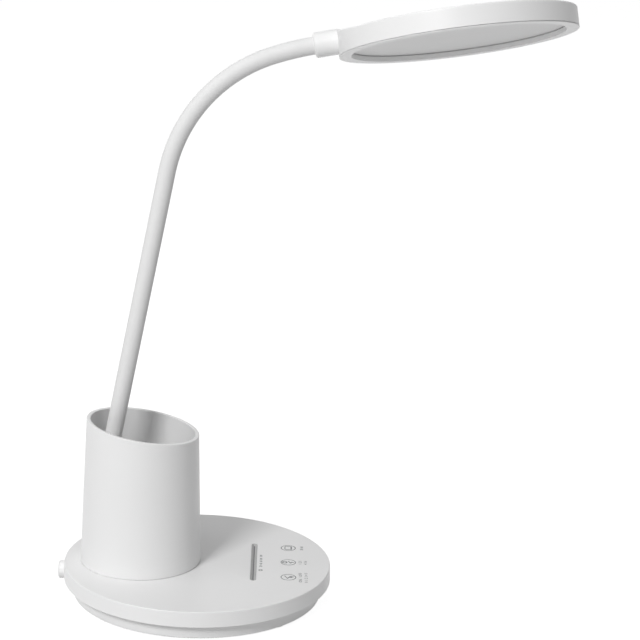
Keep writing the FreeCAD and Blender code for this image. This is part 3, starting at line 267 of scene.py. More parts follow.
@dataclass(frozen=True)
class OpalSheet:
    """Opal polystyrene light diffuser: milky, with a frosted face that hides the lamps."""

    name: str
    colour: str
    edge_colour: str
    roughness: float = 0.5
    cloud_mm: float = 60.0
    frost_mm: float = 0.3
    frost_depth_mm: float = 0.004
    frost_strength: float = 0.25
    ior: float = 1.59
    milk: float = 0.15
    milk_mm: float = 1.5

    def build(self) -> Material:
        """Make the material."""
        work = Recipe(self.name)
        cloud = work.noise(self.cloud_mm, 1.0)
        frost = work.noise(self.frost_mm)
        return work.surface(
            {"Roughness": self.roughness, "IOR": self.ior, "Subsurface Weight": self.milk,
             "Subsurface Radius": (self.milk_mm * MM,) * 3},
            {"Base Color": work.tint(self.colour, self.edge_colour, cloud),
             "Normal": work.bump(frost, self.frost_strength, self.frost_depth_mm)})


@dataclass(frozen=True)
class PlatedMetal:
    """Plated metal: grey, half bright, with the cloudy look of a barrel plating."""

    name: str
    colour: str
    cloud_colour: str
    roughness: float = 0.34
    cloud_mm: float = 2.5

    def build(self) -> Material:
        """Make the material."""
        work = Recipe(self.name)
        cloud = work.noise(self.cloud_mm, 4.0)
        gloss = work.spread(cloud, self.roughness - 0.08, self.roughness + 0.12)
        tint = work.tint(self.colour, self.cloud_colour, cloud)
        return work.surface({"Metallic": 1.0}, {"Base Color": tint, "Roughness": gloss})


@dataclass(frozen=True)
class ClearAcrylic:
    """Cast acrylic: polished, clear or tinted, darker where it is deep."""

    name: str
    colour: str
    roughness: float = 0.12
    clearness: float = 0.35
    haze_mm: float = 8.0
    ior: float = 1.49

    def build(self) -> Material:
        """Make the material."""
        work = Recipe(self.name)
        gloss = work.spread(work.noise(self.haze_mm), self.roughness, self.roughness + 0.1)
        return work.surface({"Base Color": linear(self.colour), "IOR": self.ior,
                             "Transmission Weight": self.clearness}, {"Roughness": gloss})


@dataclass(frozen=True)
class PadPrint:
    """Grey pad-printing ink: a thin dull film with fine pinholes."""

    name: str
    colour: str
    worn_colour: str
    roughness: float = 0.55
    pinhole_mm: float = 0.25
    pinhole_band: Point = (0.45, 0.7)
    wear: float = 0.45
    ior: float = 1.5

    def build(self) -> Material:
        """Make the material."""
        work = Recipe(self.name)
        worn = work.spread(work.noise(self.pinhole_mm), 0.0, self.wear, *self.pinhole_band)
        tint = work.tint(self.colour, self.worn_colour, worn)
        return work.surface({"Roughness": self.roughness, "IOR": self.ior},
                            {"Base Color": tint})


Coating = (MouldedPlastic | SiliconeSleeve | OpalSheet | PlatedMetal | ClearAcrylic
           | PadPrint)


class Finish(Enum):
    """Every finish on the lamp: how it is made, what nodes show it, and a new piece's slot."""

    WHITE_ABS = (MouldedPlastic("abs_white_satin_moulded", "#F3F3F3", "#F0F0F0", 0.42),
                 "base_top_cover base_lower_cover power_inlet pen_cup", Slot.ABS)
    SCREEN_ABS = (MouldedPlastic("abs_white_satin_head", "#F3F3F3", "#F0F0F0", 0.38),
                  "head_sleeve head_top_cover head_bezel", Slot.ABS)
    WHITE_ZINC = (MouldedPlastic("die_cast_zinc_white_powder_coat", "#E8E8E8", "#E3E3E3", 0.45,
                                 grain_mm=0.6, grain_depth_mm=0.01), "neck_collar")
    FOOT_RUBBER = (MouldedPlastic("thermoplastic_rubber_foot_white", "#DCDCDC", "#D1D1D1", 0.75,
                                  grain_mm=0.5, grain_depth_mm=0.012, ior=1.45),
                   "rubber_feet", Slot.RUBBER)
    SOLDER_MASK = (MouldedPlastic("solder_mask_green_on_glass_laminate", "#0F5A32", "#0C4A2A",
                                  0.3, grain_mm=0.8, coat=0.3), "control_board led_strip")
    CHIP_EPOXY = (MouldedPlastic("moulding_compound_black_epoxy", "#202022", "#2A2A2C", 0.6),
                  "board_chips head_plug")
    PHOSPHOR = (MouldedPlastic("phosphor_in_silicone_yellow", "#E3C95A", "#D8BA45", 0.4),
                "led_chips")
    FOAM = (MouldedPlastic("conductive_foam_grey", "#55565A", "#3F4043", 0.9, grain_mm=0.7,
                           grain_depth_mm=0.08), "touch_pads")
    LEAD_JACKET = (MouldedPlastic("pvc_lead_black", "#18181A", "#222224", 0.45),
                   "base_lead head_lead")
    REFLECTOR = (MouldedPlastic("polyester_reflector_film_white", "#F4F4F4", "#EFEFEF", 0.25),
                 "reflector_sheet")
    SILICONE = (SiliconeSleeve("silicone_sleeve_white", "#EDEDED", "#E7E7E7"), "",
                Slot.SILICONE)
    OPAL = (OpalSheet("polystyrene_opal_diffuser", "#F3F3F3", "#EEEEEE"), "diffuser", Slot.OPAL)
    ZINC_STEEL = (PlatedMetal("steel_zinc_plated", "#C6C8CA", "#A9ACAF"),
                  "counterweight base_screws board_screws cup_screws neck_washer neck_nut "
                  "ferrule_nut")
    NICKEL = (PlatedMetal("brass_nickel_plated", "#D3CFC6", "#B9B4A8", 0.25),
              "inlet_pin neck_ferrule")
    CLEAR = (ClearAcrylic("acrylic_clear_polished", "#C9CDCF"), "light_guide")
    TINTED = (ClearAcrylic("acrylic_grey_tinted_moulded", "#BDBDBD", 0.35, 0.08),
              "slider_light_bar", Slot.CLEAR)
    # Painted shade: a dark sheet along the bottom of the light bar's crease, where the crease
    # lies in shadow.
    CREASE_SHADE = (ClearAcrylic("painted_crease_shade", "#68696B", 0.4, 0.05), "", Slot.CLEAR)
    INK = (PadPrint("pad_print_ink_grey", "#6C6D6F", "#909193"), "", Slot.INK)

    def __init__(self, made_as: Coating, nodes: str, slot: Slot | None = None) -> None:
        """Name the three parts of a value."""
        self.made_as, self.nodes, self.slot = made_as, nodes.split(), slot


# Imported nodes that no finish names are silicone.
NODE_FINISH = {node: finish for finish in Finish for node in finish.nodes}


class Paintbox:
    """Builds each finish once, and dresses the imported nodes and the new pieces."""

    def __init__(self) -> None:
        """Start with no material made."""
        self._made: dict[Finish, Material] = {}

    def get(self, finish: Finish) -> Material:
        """Give the material of a finish, made on first use."""
        if finish not in self._made:
            self._made[finish] = finish.made_as.build()
        return self._made[finish]

    def dress_nodes(self) -> None:
        """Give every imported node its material."""
        for name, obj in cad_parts.items():
            material = self.get(NODE_FINISH.get(name, Finish.SILICONE))
            if len(obj.data.materials) == 0:
                obj.data.materials.append(material)
            for slot in obj.material_slots:
                slot.material = material

    def dress(self, obj: Object, finish: Finish, body: Body | None, *nodes: str) -> None:
        """Give a piece its material and its place in the frame.

        Args:
            obj: The piece.
            finish: What covers it.
            body: The body that it rides on; None leaves that to the caller.
            nodes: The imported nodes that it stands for.
        """
        obj.data.materials.clear()
        obj.data.materials.append(self.get(finish))
        if body:
            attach(obj, body.value)
        if nodes:
            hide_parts(*nodes)
        LOG.info("%s: %d faces", obj.name, len(obj.data.polygons))


# Mesh building


def linked(name: str, data: bpy.types.ID) -> Object:
    """Put data into the scene as an object at the origin."""
    obj = bpy.data.objects.new(name, data)
    bpy.context.scene.collection.objects.link(obj)
    return obj


@contextmanager
def edited(obj: Object, sharp: float) -> Iterator[Mesh]:
    """Lend an object's mesh as a bmesh, write it back and shade it smooth.

    Args:
        obj: The object.
        sharp: Edges that turn by more degrees stay sharp.

    Yields:
        The bmesh.
    """
    mesh = bmesh.new()
    mesh.from_mesh(obj.data)
    yield mesh
    mesh.to_mesh(obj.data)
    mesh.free()
    obj.data.shade_smooth()
    obj.data.set_sharp_from_angle(angle=radians(sharp))


def close_holes(mesh: Mesh) -> None:
    """Put a face into every hole."""
    bmesh.ops.holes_fill(mesh, edges=[edge for edge in mesh.edges if edge.is_boundary])


def rounded(corners: Sequence[Sequence[float]], closed: bool = False,
            steps: int = 6) -> list[Point]:
    """Turn an outline's corners into points, with arcs and a support point beside each.

    Args:
        corners: Distance from the axis, height and, where it has one, rounding of each.
        closed: Whether the last corner joins the first.
        steps: Segments in each arc.

    Returns:
        Points as distance from the axis and height, in millimetres.
    """
    points: list[Point] = []
    spots = [Vector(corner[:2]) for corner in corners]
    for index, (here, corner) in enumerate(zip(spots, corners)):
        if len(corner) < 3 or (not closed and index in (0, len(corners) - 1)):
            points.append(tuple(here))
            continue
        back, ahead = spots[index - 1] - here, spots[(index + 1) % len(spots)] - here
        back_way, ahead_way = back.normalized(), ahead.normalized()
        support = SUPPORT_MM * min(1.0, back.length, ahead.length)
        half = back.angle(ahead) / 2
        start = here + back_way * (corner[2] / tan(half))
        end = here + ahead_way * (corner[2] / tan(half))
        centre = here + (back_way + ahead_way).normalized() * (corner[2] / sin(half))
        points.append(tuple(start + back_way * support))
        first = start - centre
        turn = first.angle_signed(end - centre)
        for step in range(steps + 1):
            c, s = cos(-turn * step / steps), sin(-turn * step / steps)
            offset = Vector((first.x * c - first.y * s, first.x * s + first.y * c))
            points.append(tuple(centre + offset))
        points.append(tuple(end + ahead_way * support))
    return points


def mesh_object(name: str, mesh: Mesh, place: Matrix | None = None) -> Object:
    """Make an object from a bmesh given in millimetres.

    Args:
        name: The object's name.
        mesh: The mesh; it is freed.
        place: Where it goes, in millimetres.

    Returns:
        The object, in metres, at the origin.
    """
    bmesh.ops.remove_doubles(mesh, verts=mesh.verts, dist=MERGE_MM)
    bmesh.ops.recalc_face_normals(mesh, faces=mesh.faces)
    mesh.transform(Matrix.Scale(MM, 4) @ (place or Matrix()))
    data = bpy.data.meshes.new(name)
    mesh.to_mesh(data)
    mesh.free()
    data.shade_smooth()
    data.set_sharp_from_angle(angle=radians(SHARP))
    return linked(name, data)


def loft(rings: Sequence[Sequence[Vector]], closed: bool = False) -> Mesh:
    """Join equal rings of points with faces.

    Args:
        rings: Rings of points; a ring whose points are all one is a pole.
        closed: Whether the last ring joins the first.

    Returns:
        The mesh, with its poles merged.
    """
    mesh = bmesh.new()
    grid = [[mesh.verts.new(point) for point in ring] for ring in rings]
    for lower, upper in zip(grid, grid[1:] + grid[:1] if closed else grid[1:]):
        for index in range(len(lower)):
            after = (index + 1) % len(lower)
            mesh.faces.new((lower[index], lower[after], upper[after], upper[index]))
    bmesh.ops.remove_doubles(mesh, verts=mesh.verts, dist=MERGE_MM / 10)
    bmesh.ops.dissolve_degenerate(mesh, edges=mesh.edges, dist=MERGE_MM / 100)
    return mesh


def turned(points: Sequence[Point], segments: int, closed: bool = False) -> Mesh:
    """Turn an outline round the Z axis.

    Args:
        points: The outline in millimetres.
        segments: How many steps make the full turn.
        closed: Whether the last point joins the first.

    Returns:
        The mesh in millimetres.
    """
    turns = [tau * step / segments for step in range(segments)]
    return loft([[Vector((radius * cos(turn), radius * sin(turn), height))
                  for turn in turns] for radius, height in points], closed)


def rod(radius: float, low: float, high: float, segments: int) -> Mesh:
    """Make a round rod along the Z axis."""
    return turned([(0, low), (radius, low), (radius, high), (0, high)], segments)


def plain_mesh(obj: Object) -> Object:
    """Turn an object with live modifiers into a plain mesh object of the same name.

    Args:
        obj: The object; it is removed.

    Returns:
        The new object, at the origin.
    """
    name = obj.name
    graph = bpy.context.evaluated_depsgraph_get()
    data = bpy.data.meshes.new_from_object(obj.evaluated_get(graph), depsgraph=graph)
    bpy.data.objects.remove(obj)
    data.name = name
    return linked(name, data)


def carved(obj: Object, tools: Sequence[tuple[Object, Work]], sharp: float = SHARP) -> Object:
    """Add or take away solids.

    Args:
        obj: The solid to work on.
        tools: Solids and what they do; they are removed.
        sharp: Edges that turn by more degrees stay sharp.

    Returns:
        The worked solid as a plain mesh.
    """
    for tool, work in tools:
        step = obj.modifiers.new("work", "BOOLEAN")
        step.operation, step.solver, step.object = work.value, "EXACT", tool
    result = plain_mesh(obj)
    for tool, _ in tools:
        bpy.data.objects.remove(tool)
    with edited(result, sharp) as mesh:
        bmesh.ops.remove_doubles(mesh, verts=mesh.verts, dist=SLIVER_MM * MM)
        bmesh.ops.dissolve_degenerate(mesh, edges=mesh.edges, dist=SLIVER_MM * MM)
        close_holes(mesh)
    return result


def evenly_shaded(obj: Object) -> Object:
    """Let the large faces set the shading, so that flats beside roundings stay flat."""
    normals = obj.modifiers.new("normals", "WEIGHTED_NORMAL")
    normals.mode, normals.weight, normals.keep_sharp = "FACE_AREA", 100, True
    return plain_mesh(obj)


# Geometry node trees


class NodeTool:
    """A geometry node tree with inputs that are set for each piece."""

    def __init__(self, name: str, inputs: dict[str, str]) -> None:
        """Start the tree.

        Args:
            name: The tree's name.
            inputs: Kinds of its own inputs by name.
        """
        self.tree = bpy.data.node_groups.new(name, "GeometryNodeTree")
        self.keys = {}
        for label, kind in {"Geometry": "Geometry", **inputs, "Material": "Material"}.items():
            socket = self.tree.interface.new_socket(label, in_out="INPUT",
                                                    socket_type="NodeSocket" + kind)
            self.keys[label] = socket.identifier
        self.tree.interface.new_socket("Geometry", in_out="OUTPUT",
                                       socket_type="NodeSocketGeometry")
        self.given = add(self.tree, "NodeGroupInput").outputs

    def end(self, geometry: Socket) -> None:
        """Make copies real, give them their material and send them out."""
        real = out(self.tree, "GeometryNodeRealizeInstances", "Geometry", None,
                   {"Geometry": geometry})
        covered = out(self.tree, "GeometryNodeSetMaterial", "Geometry", None,
                      {"Geometry": real, "Material": self.given["Material"]})
        add(self.tree, "NodeGroupOutput", None, {0: covered})

    def run(self, obj: Object, values: dict) -> Object:
        """Send an object through the tree.

        Args:
            obj: The object; it is removed.
            values: What its inputs get, by name.

        Returns:
            A plain mesh.
        """
        modifier = obj.modifiers.new("tool", "NODES")
        modifier.node_group = self.tree
        for label, value in values.items():
            modifier[self.keys[label]] = value
        return plain_mesh(obj)


class RingOfCopies(NodeTool):
    """Sets copies of a mesh round the Z axis."""

    def __init__(self) -> None:
        """Build the tree."""
        super().__init__("ring_of_copies",
                         {"Count": "Int", "Radius": "Float", "First": "Float"})
        tree, given = self.tree, self.given
        circle = out(tree, "GeometryNodeMeshCircle", "Mesh", None,
                     {"Vertices": given["Count"], "Radius": given["Radius"]})
        index = out(tree, "GeometryNodeInputIndex", "Index")
        step = out(tree, "ShaderNodeMath", 0, {".operation": "DIVIDE", 0: tau},
                   {1: given["Count"]})
        angle = out(tree, "ShaderNodeMath", 0, {".operation": "MULTIPLY"}, {0: index, 1: step})
        spin = out(tree, "ShaderNodeCombineXYZ", "Vector", None, {"Z": angle})
        copies = out(tree, "GeometryNodeInstanceOnPoints", "Instances", None,
                     {"Points": circle, "Instance": given["Geometry"], "Rotation": spin})
        offset = out(tree, "ShaderNodeCombineXYZ", "Vector", None, {"Z": given["First"]})
        self.end(out(tree, "GeometryNodeTransform", "Geometry", None,
                     {"Geometry": copies, "Rotation": offset}))


class TubeAlongLine(NodeTool):
    """Draws a round tube along a curve in the XZ plane."""

    def __init__(self) -> None:
        """Build the tree."""
        super().__init__("tube_along_line", {"Radius": "Float", "Sides": "Int"})
        tree, given = self.tree, self.given
        flat = out(tree, "GeometryNodeSetCurveNormal", "Curve",
                   {".mode": "FREE", "Normal": (0.0, 1.0, 0.0)}, {"Curve": given["Geometry"]})
        ring = out(tree, "GeometryNodeCurvePrimitiveCircle", "Curve", None,
                   {"Resolution": given["Sides"], "Radius": given["Radius"]})
        tube = out(tree, "GeometryNodeCurveToMesh", "Mesh", {"Fill Caps": False},
                   {"Curve": flat, "Profile Curve": ring})
        self.end(out(tree, "GeometryNodeSetShadeSmooth", "Geometry", {"Shade Smooth": True},
                     {"Geometry": tube}))


# Base

# The strokes of the signs in the keys: both ends, seen from above, and the width.
CARD: list[Stroke] = [((-2.4, -2.7), (-2.4, 2.7), 0.6), ((2.2, -2.7), (2.2, 2.7), 1.0),
                      ((-2.2, 2.9), (2.2, 2.9), 0.8), ((-2.2, -2.9), (2.2, -2.9), 0.8)]
WAVE: list[Stroke] = [((0.0, 2.2), (1.7, -1.6), 0.7), ((1.7, -1.6), (2.4, 0.6), 0.7),
                      ((2.4, 0.6), (4.0, -0.6), 0.7)]
BEND: list[Stroke] = [((-2.6, 2.4), (-0.6, -2.2), 0.7), ((-0.6, -2.2), (1.2, 1.2), 0.8),
                      ((1.2, 1.2), (3.6, 1.0), 0.9)]


@dataclass
class Base:
    """The round base: top cover, light bar, plinth, feet and printed marks."""

    paint: Paintbox
    copies: RingOfCopies
    height: float = 21.8
    radius: float = 95.0
    flare: float = 0.4
    side: float = 11.0
    wall: float = 2.5
    edge_round: float = 0.7
    inner_round: float = 0.6
    lip_round: float = 0.3
    plinth_radius: float = 88.5
    plinth_flare: float = 1.7
    plinth_rise: float = 13.0
    plinth_wall: float = 2.2
    plinth_round: float = 1.0
    plinth_inner_round: float = 0.8
    boss_radius: float = 5.2
    boss_from: float = 1.0
    boss_to: float = 9.2
    sink_radius: float = 3.2
    sink_flare: float = 0.3
    sink_depth: float = 6.5
    sink_end: float = 11.0
    screw_bore: float = 1.6
    slider_x: float = 40.2
    slider_length: float = 72.0
    slider_width: float = 4.2
    slider_depth: float = 1.5
    slider_set_back: float = 0.15
    slot_edge: tuple[Point, ...] = ((1.0, 1.2), (0.0, 0.2), (-0.07, 0.06), (-0.22, 0.0))
    slider_lip: float = 0.3
    slider_crease: float = 0.4
    seam_tall: float = 0.16
    bar_lip: float = 1.0
    bar_tall: float = 4.2
    bar_soft: float = 0.12
    bar_nick: float = 0.03
    lip_soft: float = 0.08
    crease_soft: float = 0.06
    seam_play: float = 0.02
    bar_end_steps: int = 24
    snug: float = 0.1
    key_x: float = 65.0
    key_spacing: float = 28.4
    key_radius: float = 5.2
    key_line: float = 0.6
    inlet_height: float = 11.7
    inlet_radius: float = 6.6
    inlet_from: float = -103.0
    inlet_depth: float = 30.0
    foot_circle: float = 79.0
    foot_radius: float = 7.0
    foot_stand: float = 1.75
    foot_inset: float = 0.8
    foot_hollow: float = 4.4
    foot_hollow_depth: float = 0.5
    foot_round: float = 0.7
    foot_soft: float = 0.2
    pocket_mouth: float = 0.5
    print_lift: float = 0.02
    print_step: float = 0.004
    print_thick: float = 0.03
    print_bold: float = 0.03

    def build(self) -> None:
        """Make every piece of the base."""
        self.top_cover()
        self.light_bar()
        self.lower_cover()
        self.feet()
        self.marks()

    def inlet_tool(self) -> tuple[Object, Work]:
        """Make the solid that cuts the covers for the power inlet."""
        place = Matrix.Translation((self.inlet_from, 0, self.inlet_height)) @ TURN_Y
        solid = rod(self.inlet_radius, 0, self.inlet_depth, BORE)
        return mesh_object("inlet_tool", solid, place), Work.CUT

    def stadium(self, levels: Sequence[Point]) -> Mesh:
        """Stack round-ended outlines along the slider into a closed solid.

        Args:
            levels: Height and half width of each outline, from one end to the other.

        Returns:
            The solid in millimetres.
        """
        straight = (self.slider_length - self.slider_width) / 2
        rings = []
        for height, width in levels:
            ring = []
            for side, first in ((1, 0), (-1, pi)):
                for step in range(self.bar_end_steps + 1):
                    angle = pi * step / self.bar_end_steps + first
                    ring.append(Vector((self.slider_x + width * cos(angle),
                                        side * straight + width * sin(angle), height)))
            rings.append(ring)
        mesh = loft(rings)
        close_holes(mesh)
        return mesh

    def top_cover(self) -> None:
        """Make the moulded top cover with the light bar's slot, its edge softened."""
        low, inner = self.radius + self.flare, self.radius - self.wall
        skirt, ceiling = self.height - self.side, self.height - self.wall
        outline = rounded([
            (0, self.height), (self.radius, self.height, self.edge_round),
            (low, skirt, self.lip_round), (low - self.wall, skirt, self.lip_round),
            (inner, ceiling, self.inner_round), (0, ceiling)])
        levels = [(self.height + up, self.slider_width / 2 + wider)
                  for up, wider in self.slot_edge + ((-self.wall - 1.0, 0.0),)]
        slot = mesh_object("slot_tool", self.stadium(levels))
        cover = mesh_object("top_cover_moulding", turned(outline, LARGE))
        cover = evenly_shaded(carved(cover, [(slot, Work.CUT), self.inlet_tool()]))
        self.paint.dress(cover, Finish.WHITE_ABS, Body.BASE, "base_top_cover")

    def light_bar(self) -> None:
        """Make the tinted light bar with the finger groove along its top, and a dark sheet in
        the crease as painted shade.
        """
        half = self.slider_width / 2 - self.snug
        top, under = self.height - self.slider_set_back, self.height - self.wall
        edge, crease = half - self.slider_lip, self.slider_crease / 2
        bottom = top - self.slider_depth
        slope = (edge - crease) / self.slider_depth
        soft, nick, seam = self.bar_soft, self.bar_nick, self.seam_tall
        blunt, play = self.crease_soft, self.seam_play
        bar = mesh_object("light_bar_tinted", self.stadium([
            (under - self.bar_tall, half + self.bar_lip), (under, half + self.bar_lip),
            (under, half), (top - soft, half), (top - nick, half - 0.04), (top, half - soft),
            (top, edge + self.lip_soft), (top - nick, edge),
            (top - soft, edge - soft * slope), (bottom + blunt, crease + blunt * slope),
            (bottom, crease - play)]))
        self.paint.dress(bar, Finish.TINTED, Body.BASE, "slider_light_bar")
        # Painted shade: a thin dark sheet at the bottom of the crease stands in for the shadow
        # there.
        line = mesh_object("light_bar_painted_crease_shade", self.stadium([
            (bottom + seam, crease + seam * slope - play), (bottom + 0.01, crease - 0.03)]))
        self.paint.dress(line, Finish.CREASE_SHADE, Body.BASE)

    def on_circle(self, count: int, first: float) -> list[Matrix]:
        """Give places on the circle of feet and screws, from a first angle in degrees."""
        turns = [radians(first + 360 / count * index) for index in range(count)]
        return [Matrix.Translation((self.foot_circle * cos(turn),
                                    self.foot_circle * sin(turn), 0)) for turn in turns]

    def lower_cover(self) -> None:
        """Make the inset plinth with its screw sinks and foot pockets."""
        top, wall = self.plinth_radius + self.plinth_flare, self.plinth_wall
        outline = rounded([
            (0, 0), (self.plinth_radius, 0, self.plinth_round),
            (top, self.plinth_rise, self.lip_round),
            (top - wall, self.plinth_rise, self.lip_round),
            (self.plinth_radius - wall, wall, self.plinth_inner_round), (0, wall)])
        pocket = rounded([(0, -1), (self.foot_radius + self.pocket_mouth, -1),
                          (self.foot_radius + self.snug, self.foot_inset),
                          (0, self.foot_inset)])
        mouth = self.sink_radius + self.sink_flare
        sink = [(0, -1), (mouth, -1), (self.sink_radius, self.sink_flare),
                (self.sink_radius, self.sink_depth), (self.screw_bore, self.sink_depth),
                (self.screw_bore, self.sink_end), (0, self.sink_end)]
        cover = mesh_object("plinth_moulding", turned(outline, LARGE))
        cover = carved(cover, [self.inlet_tool()] + [
            (mesh_object("pocket_tool", turned(pocket, BORE), place), Work.CUT)
            for place in self.on_circle(4, 45)])
        tools = []
        for place in self.on_circle(3, 0):
            boss = rod(self.boss_radius, self.boss_from, self.boss_to, SCREW)
            tools.append((mesh_object("boss_tool", boss, place), Work.JOIN))
            tools.append((mesh_object("sink_tool", turned(sink, SCREW), place), Work.CUT))
        cover = carved(cover, tools)
        self.paint.dress(cover, Finish.WHITE_ABS, Body.BASE, "base_lower_cover")

    def feet(self) -> None:
        """Set four moulded rubber feet into their pockets."""
        depth, low, soft = self.foot_hollow_depth, -self.foot_stand, self.foot_soft
        outline = rounded([
            (0, self.foot_inset), (self.foot_radius, self.foot_inset, soft),
            (self.foot_radius, low, self.foot_round), (self.foot_hollow, low, soft),
            (self.foot_hollow - depth, low + depth, soft), (0, low + depth)], steps=4)
        feet = self.copies.run(mesh_object("feet", turned(outline, SCREW)), {
            "Count": 4, "Radius": self.foot_circle * MM, "First": radians(45),
            "Material": self.paint.get(Finish.FOOT_RUBBER)})
        self.paint.dress(feet, Finish.FOOT_RUBBER, Body.BASE, "rubber_feet")

    def mark(self, mesh: Mesh, x: float, y: float, turn: float = 90.0,
             lift: float = 0.0) -> Object:
        """Put a mark on the cover.

        Args:
            mesh: The mark, centred on the origin.
            x: Place on the cover.
            y: Place on the cover.
            turn: How far it is turned; 90 degrees make it read from the front.
            lift: How far it lies above the other print.

        Returns:
            The mark.
        """
        place = Matrix.Translation((x, y, self.height + self.print_lift + lift))
        return mesh_object("mark", mesh, place @ Matrix.Rotation(radians(turn), 4, "Z"))

    def ring(self, radius: float, line: float, x: float, y: float) -> Object:
        """Print a ring of a middle radius and a line width."""
        inner, outer, top = radius - line / 2, radius + line / 2, self.print_thick
        outline = [(inner, 0), (outer, 0), (outer, top), (inner, top)]
        return self.mark(turned(outline, SCREW, True), x, y)

    def bar(self, length: float, width: float) -> Mesh:
        """Make a thin closed bar along X with round ends.

        Args:
            length: Over its ends.
            width: Across it.

        Returns:
            The mark in millimetres.
        """
        mesh = bmesh.new()
        verts = []
        for side, first in ((1, -90), (-1, 90)):
            for step in range(7):
                angle = radians(first + 30 * step)
                x = side * (length - width) / 2 + width / 2 * cos(angle)
                verts.append(mesh.verts.new((x, width / 2 * sin(angle), 0)))
        raised = bmesh.ops.extrude_face_region(mesh, geom=[mesh.faces.new(verts)])["geom"]
        verts = [item for item in raised if isinstance(item, bmesh.types.BMVert)]
        bmesh.ops.translate(mesh, verts=verts, vec=(0, 0, self.print_thick))
        return mesh

    def words(self, text: str, size: float, x: float, y: float, spread: float) -> Object:
        """Print figures or plain generic words on the cover, read from its front.

        Args:
            text: What it says.
            size: Letter size in millimetres.
            x: Middle of the line.
            y: Middle of the line.
            spread: Spacing between the letters.

        Returns:
            The mark.
        """
        curve = bpy.data.curves.new("words", "FONT")
        curve.body, curve.size, curve.space_character = text, size, spread
        curve.align_x = curve.align_y = "CENTER"
        curve.extrude, curve.offset = self.print_thick / 2, self.print_bold
        curve.resolution_u = 3
        flat = plain_mesh(linked("words", curve))
        mesh = bmesh.new()
        mesh.from_mesh(flat.data)
        bpy.data.objects.remove(flat)
        bmesh.ops.translate(mesh, verts=mesh.verts, vec=(0, 0, self.print_thick / 2))
        return self.mark(mesh, x, y)

    def strokes(self, lines: Sequence[Stroke], x: float, y: float) -> list[Object]:
        """Print straight strokes with round ends.

        Args:
            lines: The strokes.
            x: Middle of the sign on the cover.
            y: Middle of the sign on the cover.

        Returns:
            The marks.
        """
        marks = []
        for number, (first, last, width) in enumerate(lines):
            along, middle = Vector(last) - Vector(first), (Vector(first) + Vector(last)) / 2
            # Each stroke lies a hair above the one before, so that no faces fight.
            marks.append(self.mark(self.bar(along.length + width, width), x + middle.x,
                                   y + middle.y, degrees(atan2(along.y, along.x)),
                                   self.print_step * number))
        return marks

    def marks(self) -> None:
        """Print the key rings, their signs and the figures beside them."""
        x, far, near = self.key_x, self.key_spacing, -self.key_spacing
        marks = [self.ring(self.key_radius, self.key_line, x, y) for y in (far, 0.0, near)]
        # A card with one heavy side, a lamp with its wave, a bent stroke with a dot.
        marks += self.strokes(CARD, x, far)
        marks += [self.ring(1.5, 0.9, x - 2.6, 0.0)] + self.strokes(WAVE, x, 0.0)
        marks += self.strokes(BEND, x, near) + [self.ring(0.7, 1.3, x + 1.7, near + 0.6)]
        marks += [self.words(*line) for line in (
            ("30 60", 3.0, 75.0, far, 1.1), ("1 2 3", 3.0, 73.6, 0.0, 1.1),
            ("4 5 6", 3.0, 77.4, 0.0, 1.1), ("ON / OFF", 3.2, 73.6, near, 1.35),
            ("0 1 2 3 4 5", 3.0, 77.6, near, 1.3),
            ("20  40  60  80  100", 2.7, 45.4, 1.2, 1.1))]
        marks.append(self.ring(1.2, 0.6, 45.2, -16.5))
        bpy.ops.object.select_all(action="DESELECT")
        for mark in marks:
            mark.select_set(True)
        bpy.context.view_layer.objects.active = marks[0]
        bpy.ops.object.join()
        marks[0].name = marks[0].data.name = "printed_marks"
        self.paint.dress(marks[0], Finish.INK, Body.BASE)


# Cup


@dataclass
class PenCup:
    """The pen cup on the back of the base, with its rim falling towards the front."""

    paint: Paintbox
    x: float = -41.0
    foot_z: float = 21.8
    radius: float = 42.8
    draft: float = 1.83
    wall: float = 2.8
    floor: float = 6.0
    floor_round: float = 1.6
    height: float = 99.6
    slant: float = 8.5
    rim_round: float = 0.55
    foot_groove: float = 0.5
    foot_round: float = 0.25
    groove_round: float = 0.1
    segments: int = LARGE

    def profile(self, angle: float) -> list[Vector]:
        """Give the wall's points at one angle, from the outer foot to the inner floor.

        Args:
            angle: Direction from the cup's axis in radians.

        Returns:
            The points in millimetres, from the cup's foot.
        """
        lean, fall = tan(radians(self.draft)), tan(radians(self.slant))
        slope = -fall * cos(angle)
        top = self.height + slope * (self.radius - self.height * lean)
        outer = self.radius - top * lean
        inner, groove = outer - self.wall, self.radius - self.foot_groove
        corners = rounded([
            (0, 0), (groove, 0), (groove, self.foot_groove, self.groove_round),
            (self.radius, self.foot_groove, self.foot_round), (outer, top, self.rim_round),
            (inner, top - self.wall * slope, self.rim_round),
            (self.radius - self.wall - self.floor * lean, self.floor, self.floor_round),
            (0, self.floor)], steps=8)
        return [Vector((r * cos(angle), r * sin(angle), z)) for r, z in corners]

    def build(self) -> None:
        """Make the cup."""
        turns = [tau * step / self.segments for step in range(self.segments)]
        rings = list(zip(*(self.profile(turn) for turn in turns)))
        place = Matrix.Translation((self.x, 0, self.foot_z))
        cup = mesh_object("pen_cup_moulding", loft(rings), place)
        self.paint.dress(cup, Finish.WHITE_ABS, Body.BASE, "pen_cup")


# Neck


